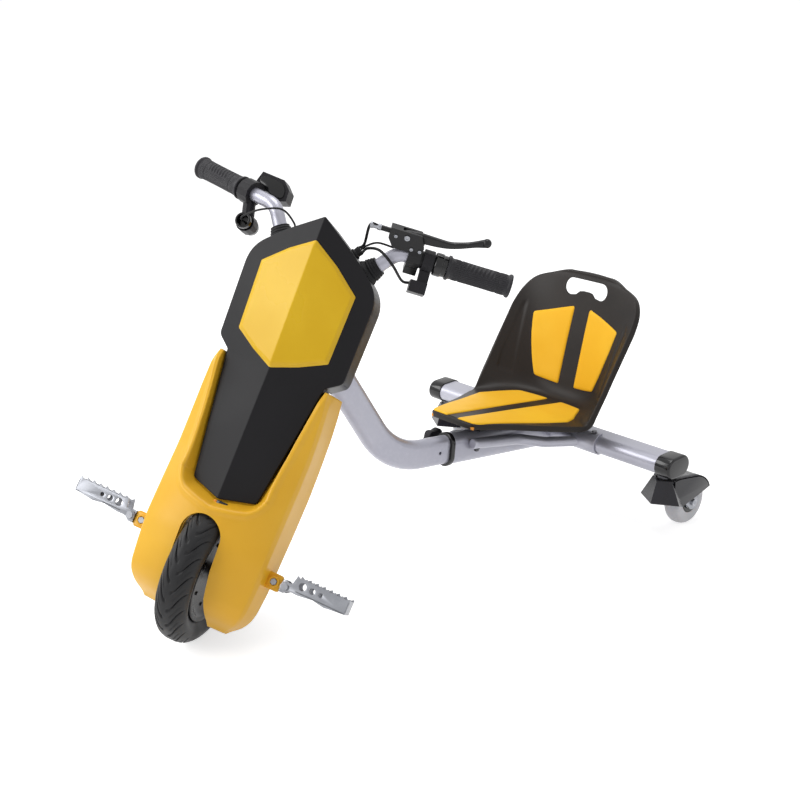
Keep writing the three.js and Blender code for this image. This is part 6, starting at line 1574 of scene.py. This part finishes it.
# %% [markdown]
# Both casters are the same. The fork, its bolt and the fender turn with the caster's body, and the wheel
# rolls on its own.

# %% Both casters
for side, side_name in ((1, "left"), (-1, "right")):
    out = side * CASTER_OUT
    place_piece(f"stamped_fork_{side_name}", caster_fork_mesh(out), f"caster_{side_name}", "bare_steel",
        f"caster_fork_{side_name}")
    place_piece(f"resin_wheel_{side_name}", caster_wheel_mesh(out), f"caster_wheel_{side_name}",
        "pale_resin", f"caster_wheel_{side_name}", angle=50)
    place_piece(f"hub_ring_{side_name}", hub_ring_mesh(out), f"caster_wheel_{side_name}", "gloss_black")
    place_piece(f"wheel_bolt_{side_name}", axle_mesh(out), f"caster_{side_name}", "bare_steel",
        f"caster_axle_{side_name}", angle=25)
    apron_mesh, guard_mesh, sides_mesh = fender_meshes(out)
    apron = place_piece(f"fender_apron_{side_name}", apron_mesh, f"caster_{side_name}", "violet_plastic",
        f"caster_fender_{side_name}", angle=20)
    walled(apron, FENDER_WALL)
    rounded_edges(apron, 0.9, angle=20, segments=3)
    guard = place_piece(f"fender_guard_{side_name}", guard_mesh, f"caster_{side_name}", "violet_plastic",
        angle=50)
    walled(guard, FENDER_WALL)
    place_piece(f"fender_sides_{side_name}", sides_mesh, f"caster_{side_name}", "violet_plastic", angle=30)
    softened(f"caster_swivel_{side_name}", 0.5, "dark_steel", "rear_frame")


print("casters placed")

# %% [markdown]
# ## The handlebar and its grips
# A silver bar rises from the clamp in two bends and sweeps back to the grips. The grips are moulded
# rubber: long ribs, a patch of slanted ribs under the palm and a flange at each end. The ribs are a
# change of radius by angle and length, so they are real relief.

# %% Handlebar, clamp and fork
def front_point(p, q, m):
    """One point of the steering frame, in metres."""
    return on_front(float(p), float(q), float(m))


BAR_HALF = [(46, 473, 73), (77.4, 513, 77.8), (105.6, 551.4, 81.8), (266, 575.5, 24.7)]
bar_points = [front_point(-p, q, m) for p, q, m in BAR_HALF[::-1]] + [front_point(*c) for c in BAR_HALF]
bar_path = resampled(rounded_path(bar_points, 30 * MILLI, 16), 260)
place_piece("swept_bar", swept("swept_bar", bar_path, ring(11, 48), side=tuple(UP)), "steering",
    "silver_paint", "handlebar")
softened("handlebar_clamp", 1.2, "black_paint", "steering")
softened("fork", 1.2, "black_paint", "steering")
softened("front_axle", 0.5, "dark_steel", "steering")

KNEE = front_point(105.6, 551.4, 81.8)
BAR_END = front_point(266, 575.5, 24.7)
WAY = unit(BAR_END - KNEE)
LEVER_UP = unit(np.array([0.370673, 0.082533, 0.925089]))
LEVER_SIDE = np.cross(WAY, LEVER_UP)
BAR_LENGTH = float(np.linalg.norm(BAR_END - KNEE)) / MILLI


def on_bar(s, h=0.0, t=0.0):
    """A place by the left grip: s along the bar from its knee, h above it towards the lever, t across."""
    return KNEE + MILLI * (s * WAY + h * LEVER_UP + t * LEVER_SIDE)


print("bar straight, mm:", round(BAR_LENGTH, 1))

# %% Grips
GRIP_LONG = 101.0


def grip_relief(radius, z, turn):
    """Lengthwise ribs all round, replaced by slanted ribs on two patches, smooth near the ends."""
    body = np.clip((z - 9) / 3, 0, 1) * np.clip((93 - z) / 3, 0, 1)
    patch = np.clip((z - 26) / 4, 0, 1) * np.clip((74 - z) / 4, 0,
        1) * np.clip((np.cos(turn * 2 - 0.6) - 0.1) * 3, 0, 1)
    ribs = 0.5 * np.cos(34 * turn) * (1 - patch)
    slant = 0.75 * np.clip(np.cos(2 * np.pi * (z / 6.4) + 5 * turn) * 1.6, -1, 1) * patch
    bands = -0.7 * np.exp(-((z - 20) / 1.2) ** 2) - 0.7 * np.exp(-((z - 80) / 1.2) ** 2)
    return radius + body * (ribs + slant + bands) * (radius > 14.5)


def grip_mesh():
    """Flange, ribbed body with a light waist, end flange and a domed end cap with a small plug."""
    z = np.linspace(7.5, 94.5, 150)
    waist = 16.0 - 0.5 * np.sin(np.pi * (z - 7.5) / 87)
    profile = np.concatenate([
        [(11.4, 0), (18.2, 0), (18.9, 0.7), (18.9, 3.4), (18.2, 4.2), (16.6, 5.4)], np.c_[waist, z],
        [(16.6, 95.4), (17.8, 96.4), (18.2, 97.4), (18.2, 99.8), (17.4, 100.8), (9, 100.8), (8.4, 99.6),
        (5, 99.6), (4.4, 101), (0, 101)]])
    return turned_form("grip", profile, on_bar(BAR_LENGTH - GRIP_LONG + 5), WAY, 204, LEVER_UP, grip_relief)


grip_left = grip_mesh()
place_piece("ribbed_grip_left", grip_left, "steering", "grip_rubber", "grip_left", angle=60)
place_piece("ribbed_grip_right", mirrored_front(grip_left), "throttle_grip", "grip_rubber", "throttle_grip",
    angle=60)


print("grip faces:", len(grip_left.polygons))

# %% [markdown]
# ## Brake and switch on the left
# The bracket clamps the bar and holds the lever between two cheeks. The lever is a stamped blade: an
# outline that sweeps up in an S to a ball, drawn as a smooth closed curve and rounded all along its
# edges.

# %% Brake lever and bracket
LEVER_LINE = [(-2.4, 34.5), (0.1, 39.4), (13.2, 41.4), (27, 42.1), (47, 41.6), (68, 41.5), (82, 45),
    (94.5, 49.5), (106, 55.4), (117.7, 61.9),
              (124.3, 61.1), (125.9, 54.5), (121, 50.4), (108, 46.2), (94.5, 40.4), (82, 35.2), (68, 30.9),
              (52, 28.3), (35.2, 27), (22, 25.9), (13.2, 25.4), (0.9, 25.9), (-2.6, 29)]


def smooth_loop(points, per_span=6):
    """A closed smooth curve through flat points."""
    points = np.asarray(points, float)
    a, b, c, d = (np.roll(points, k, axis=0)[:, None] for k in (1, 0, -1, -2))
    t = np.linspace(0, 1, per_span, endpoint=False)[None, :, None]
    line = 0.5 * (2 * b + (c - a) * t + (2 * a - 5 * b + 4 * c - d) * t ** 2 + (3 * b - a - 3 * c + d)
        * t ** 3)
    return line.reshape(-1, 2)


def ball(centre, axis, radius, sides=40):
    """A turned ball, its poles closed by one face each."""
    turn = np.linspace(0.04, np.pi - 0.04, 24)
    profile = np.concatenate([[(0, -radius)], np.c_[radius * np.sin(turn), -radius * np.cos(turn)],
        [(0, radius)]])
    return turned_form("ball", profile, centre, axis, sides)


blade = plate("blade", smooth_loop(LEVER_LINE), [ring(2.9, 24) + [5, 32]], 8.2, on_bar(0), WAY, LEVER_UP, 2.2)
lever = joined("blade_lever", blade, ball(on_bar(121, 57), LEVER_SIDE, 7.0))
place_piece("blade_lever", lever, "brake_lever", "black_paint", "brake_lever", angle=45)
softened("brake_perch", 1.1, "black_paint", "steering", segments=3)


def cap_screw(start, axis, radius, height, near=(0, 0, 1)):
    """A round screw head with a six-sided socket."""
    profile = softened_profile([(0, 0), (radius, 0), (radius, height), (radius * 0.55, height),
        (radius * 0.5, height * 0.4), (0, height * 0.4)], 0.35)
    return turned_form("cap_screw", profile, start, axis, 30, near)


perch_screws = [cap_screw(on_bar(s, h, 8.9), LEVER_SIDE, 2.6, 2.0) for s,
    h in ((-12, 30), (16, 16), (29, 16))]
perch_screws += [cap_screw(on_bar(5, 32, 8.9), LEVER_SIDE, 4.2, 2.2),
    cap_screw(on_bar(5, 32, -8.9), -LEVER_SIDE, 4.2, 2.2)]
place_piece("perch_screws", joined("perch_screws", *perch_screws), "steering", "bare_steel", angle=30)
adjuster_profile = softened_profile([(2.4, 0), (5.0, 0), (5.0, 5), (3.9, 5.6), (3.9, 12), (4.8, 12.6),
    (4.8, 17), (2.4, 17), (2.4, 0)], 0.5)
adjuster = turned_form("cable_adjuster", adjuster_profile, on_bar(-36, 32), -WAY, 40, LEVER_UP)
place_piece("cable_adjuster", adjuster, "steering", "bare_steel", angle=30)
print("lever and bracket placed")

# %% Clamp ring, switch box and horn button
collar_profile = softened_profile([(11.4, 0), (16.2, 0), (18.0, 2), (18.0, 12), (16.6, 13.4), (16.6, 19.6),
    (11.4, 19.6), (11.4, 0)], 0.9)
place_piece("grip_collar", turned_form("grip_collar", collar_profile, on_bar(55.6), WAY, 72, LEVER_UP),
    "steering", "gloss_black")
softened("switch_box", 1.2, "black_plastic", "steering", segments=3)
softened("horn_button", 0.5, "gloss_black", "horn_button")
sleeve_profile = softened_profile([(11.3, 0), (13.4, 0), (13.4, 34), (11.3, 34), (11.3, 0)], 0.5)
place_piece("bar_sleeve", turned_form("bar_sleeve", sleeve_profile, on_bar(24), WAY, 48, LEVER_UP),
    "steering", "black_plastic")


print("switch box placed")

# %% [markdown]
# ## Throttle, display and key on the right
# A collar beside the twist grip carries a small hooded display; an arm runs down to the barrel of the key
# switch. The barrel is glossy and hollow at its front, where a thin lead comes out.

# %% Throttle housing and key switch
softened("throttle_housing", 1.3, "black_plastic", "steering", segments=3)
display_line = smooth_loop([(-158, 583), (-155, 593.5), (-126, 593), (-115, 585), (-113, 573),
    (-121, 568.5), (-140, 573)], 8)
display = plate("display", display_line, [], 2.0, on_front(0, 0, 50.9), LEFT, UP, 0.7)
place_piece("display_window", display, "steering", "gloss_black")
key_profile = softened_profile([(7.4, 0), (12.5, 0), (12.5, 46), (9.5, 46), (8.6, 30), (0, 30), (0, 24),
    (7.4, 23.4), (7.4, 0)], 0.9)
place_piece("key_switch", turned_form("key_switch", key_profile, front_point(-147, 512, 32), AHEAD, 72, UP),
    "steering", "gloss_black", "key_barrel")
softened("key_plug", 0.4, "bare_steel", "key_plug")
print("display and key placed")

# %% Glands and grommet
def gland_mesh():
    """A ribbed rubber cone round the bar where it leaves the cover."""
    rise, start = front_point(77.4, 513, 77.8), front_point(46, 473, 73)
    way = unit(rise - start)
    z = np.linspace(0, 1, 30)
    cone = 18 - 3.5 * np.clip((z - 0.3) / 0.7, 0, 1) + 0.55 * np.cos(2 * np.pi * 4 * z)
    foot = [(11.2, -18), (19.5, -18), (20.5, -17), (20.5, -3), (19.5, -1.5)]
    profile = np.concatenate([foot, np.c_[cone, 17 * z], [(11.2, 17)]])
    return turned_form("gland", profile, rise - MILLI * 4.25 * way, way, 64, UP)


gland_left = gland_mesh()
place_piece("ribbed_gland_left", gland_left, "steering", "black_rubber", "bar_gland_left")
place_piece("ribbed_gland_right", mirrored_front(gland_left), "steering", "black_rubber", "bar_gland_right")
FACET = np.array([0.5098, 0.8603])
facet_way = FACET[0] * LEFT + FACET[1] * UP
facet_across = -FACET[1] * LEFT + FACET[0] * UP
grommet_at = front_point(45, 524.34, 85)
grommet_profile = softened_profile([(0, -1), (9.2, -1), (9.2, 2.6), (7.0, 3.4), (7.4, 11.4), (0, 11.7)], 0.8)
place_piece("cable_boot", turned_form("cable_boot", grommet_profile, grommet_at, facet_way, 56, AHEAD),
    "steering", "black_rubber", "cable_grommet")


print("rubber parts placed")

# %% [markdown]
# ## Cables
# Four thin black cables run from the controls into the cover. Both ends of each are held, so they are
# fixed leads and not loose cords: a round section along a smooth route. The routes are close to those of
# the solids, but the ends run on into the boots and boxes, and the key lead hangs lower.

# %% Cables
def from_mouth(across, out):
    """A place in front of the boot's mouth: across it, and out along its axis."""
    return grommet_at + MILLI * ((12.15 + out + 0.3) * facet_way + across * facet_across)


switch_end = on_bar(27, -43)
lead_entry = front_point(-50, 521.38, 108)
lead_way = -FACET[0] * LEFT + FACET[1] * UP
ROUTES = {
    "brake_cable": (2.2, [from_mouth(4.6, -2), from_mouth(4.6, 9), on_bar(-52.6, 32), on_bar(-34, 32)]),
    "brake_sensor_cable": (1.6, [from_mouth(0, -2), from_mouth(0, 9), on_bar(-33.8, 6.2), on_bar(-9, 6.2)]),
    "switch_cable": (2.2, [from_mouth(-4.6, -2), from_mouth(-4.6, 9), front_point(84, 541, 101),
    front_point(110, 528, 99), switch_end - MILLI * 9 * WAY, switch_end + MILLI * 4 * WAY]),
    "throttle_cable": (1.6, [front_point(-147, 512, 62), front_point(-147, 512, 84),
    front_point(-141, 518, 92), front_point(-112, 532, 111), front_point(-80, 543, 114),
    lead_entry + MILLI * 12 * lead_way, lead_entry - MILLI * 2 * lead_way]),
}
for label, (radius, route) in ROUTES.items():
    path = resampled(curved(route, 18), 90)
    place_piece(f"round_{label}", swept(label, path, ring(radius, 16), side=(0.2, 0.1, 1)), "steering",
        "black_rubber", label)
    print(label, "length mm:", round(float(np.linalg.norm(np.diff(path, axis=0), axis=1).sum()) / MILLI, 1))

# %% [markdown]
# ## Footpegs
# Each peg is stamped steel: two toothed side plates with three round holes that get smaller outward, a
# floor between them and a turned-up end. It folds on a pin in a sheet bracket bolted behind the shroud's
# ear.

# %% Footpegs and brackets
def peg_outline():
    """Side of the peg as (p, q): a round hinge end, seven saw teeth on top, a wavy lower edge."""
    teeth = []
    run = (240 - 147 - 8) / 7
    for i in range(7):
        x = 155 + run * i
        teeth += [(x + run * 0.06, 46.0), (x + run * 0.5, 46.3), (x + run * 0.92, 49.4)]
    turn = np.linspace(np.pi * 1.25, np.pi * 0.55, 10)
    eye = np.c_[138 + 8 * np.cos(turn), 25 + 8 * np.sin(turn)]
    return np.concatenate([eye, [(147, 34), (150.5, 49.0)], teeth,
        [(240, 47.5), (240, 24.6), (214, 22.4), (206, 21.2), (198, 22.4), (185, 24.4), (172, 22.6),
        (160, 21.2), (150, 21.6)]])


def peg_mesh():
    """Two side plates, the floor and the end flange, all 2.2 mm sheet."""
    holes = [ring(radius, 32) + [at, 36.0] for at, radius in ((163.5, 6.2), (180.0, 4.8), (194.5, 3.5))]
    holes.append(ring(3.8, 28) + [138, 25])
    sides = [plate("side", peg_outline(), holes, 2.2, on_front(0, 0, m), LEFT, UP, 0.4)
        for m in (9 + 11.9, 9 - 11.9)]
    web = plate("web", rounded_rect(155, 240, -4, 22, 1.0), [], 2.2, on_front(0, 25.5, 0), LEFT, AHEAD, 0.4)
    end = plate("end", rounded_rect(24.4, 46, -4, 22, 2.5), [], 2.2, on_front(238.9, 0, 0), UP, AHEAD, 0.4)
    return joined("peg", *sides, web, end)


peg_left = peg_mesh()
place_piece("toothed_peg_left", peg_left, "peg_left", "bare_steel", "peg_left", angle=30)
place_piece("toothed_peg_right", mirrored_front(peg_left), "peg_right", "bare_steel", "peg_right", angle=30)
for side_name in ("left", "right"):
    softened(f"peg_bracket_{side_name}", 0.4, "bare_steel", "steering")


print("peg faces:", len(peg_left.polygons))

# %% [markdown]
# A small black latch with orange cheeks closes the tongue's tip against the shroud.

# %% Tongue latch
latch = plate("latch", rounded_rect(2, 20, 97, 105, 1.6), [], 5, on_front(0, 0, 72.5), LEFT, UP, 0.8)
place_piece("tongue_latch", latch, "steering", "gloss_black")
cheeks = [plate("cheek", rounded_rect(11 + s * 12 - 2.4, 11 + s * 12 + 2.4, 98, 104, 1.2), [], 4,
    on_front(0, 0, 71.5), LEFT, UP, 0.8) for s in (1, -1)]
place_piece("latch_cheeks", joined("latch_cheeks", *cheeks), "steering", "clip_orange")
print("latch placed")

# %% [markdown]
# ## The last CAD solids
# Every CAD node that is still shown has the right shape already. It only needs its finish, which follows
# the record's material slot.

# %% Finishes for the CAD nodes that stay, and the end
def dress_cad_nodes():
    """Gives each CAD node that still shows the finish of its material slot."""
    slot_of = {row["node"]: row["material_slot"] for row in frame["record"]["subparts"]}
    spare = {"leather": "orange_pad"}
    dressed = 0
    for name, thing in nodes.items():
        material = FINISHES.get(slot_of.get(name)) or FINISHES.get(spare.get(slot_of.get(name),
            "black_plastic"))
        if not thing.material_slots:
            thing.data.materials.append(None)
        for holder in thing.material_slots:
            holder.material = material
        dressed += 1
    return dressed


print("CAD nodes dressed:", dress_cad_nodes())
bpy.context.view_layer.update()
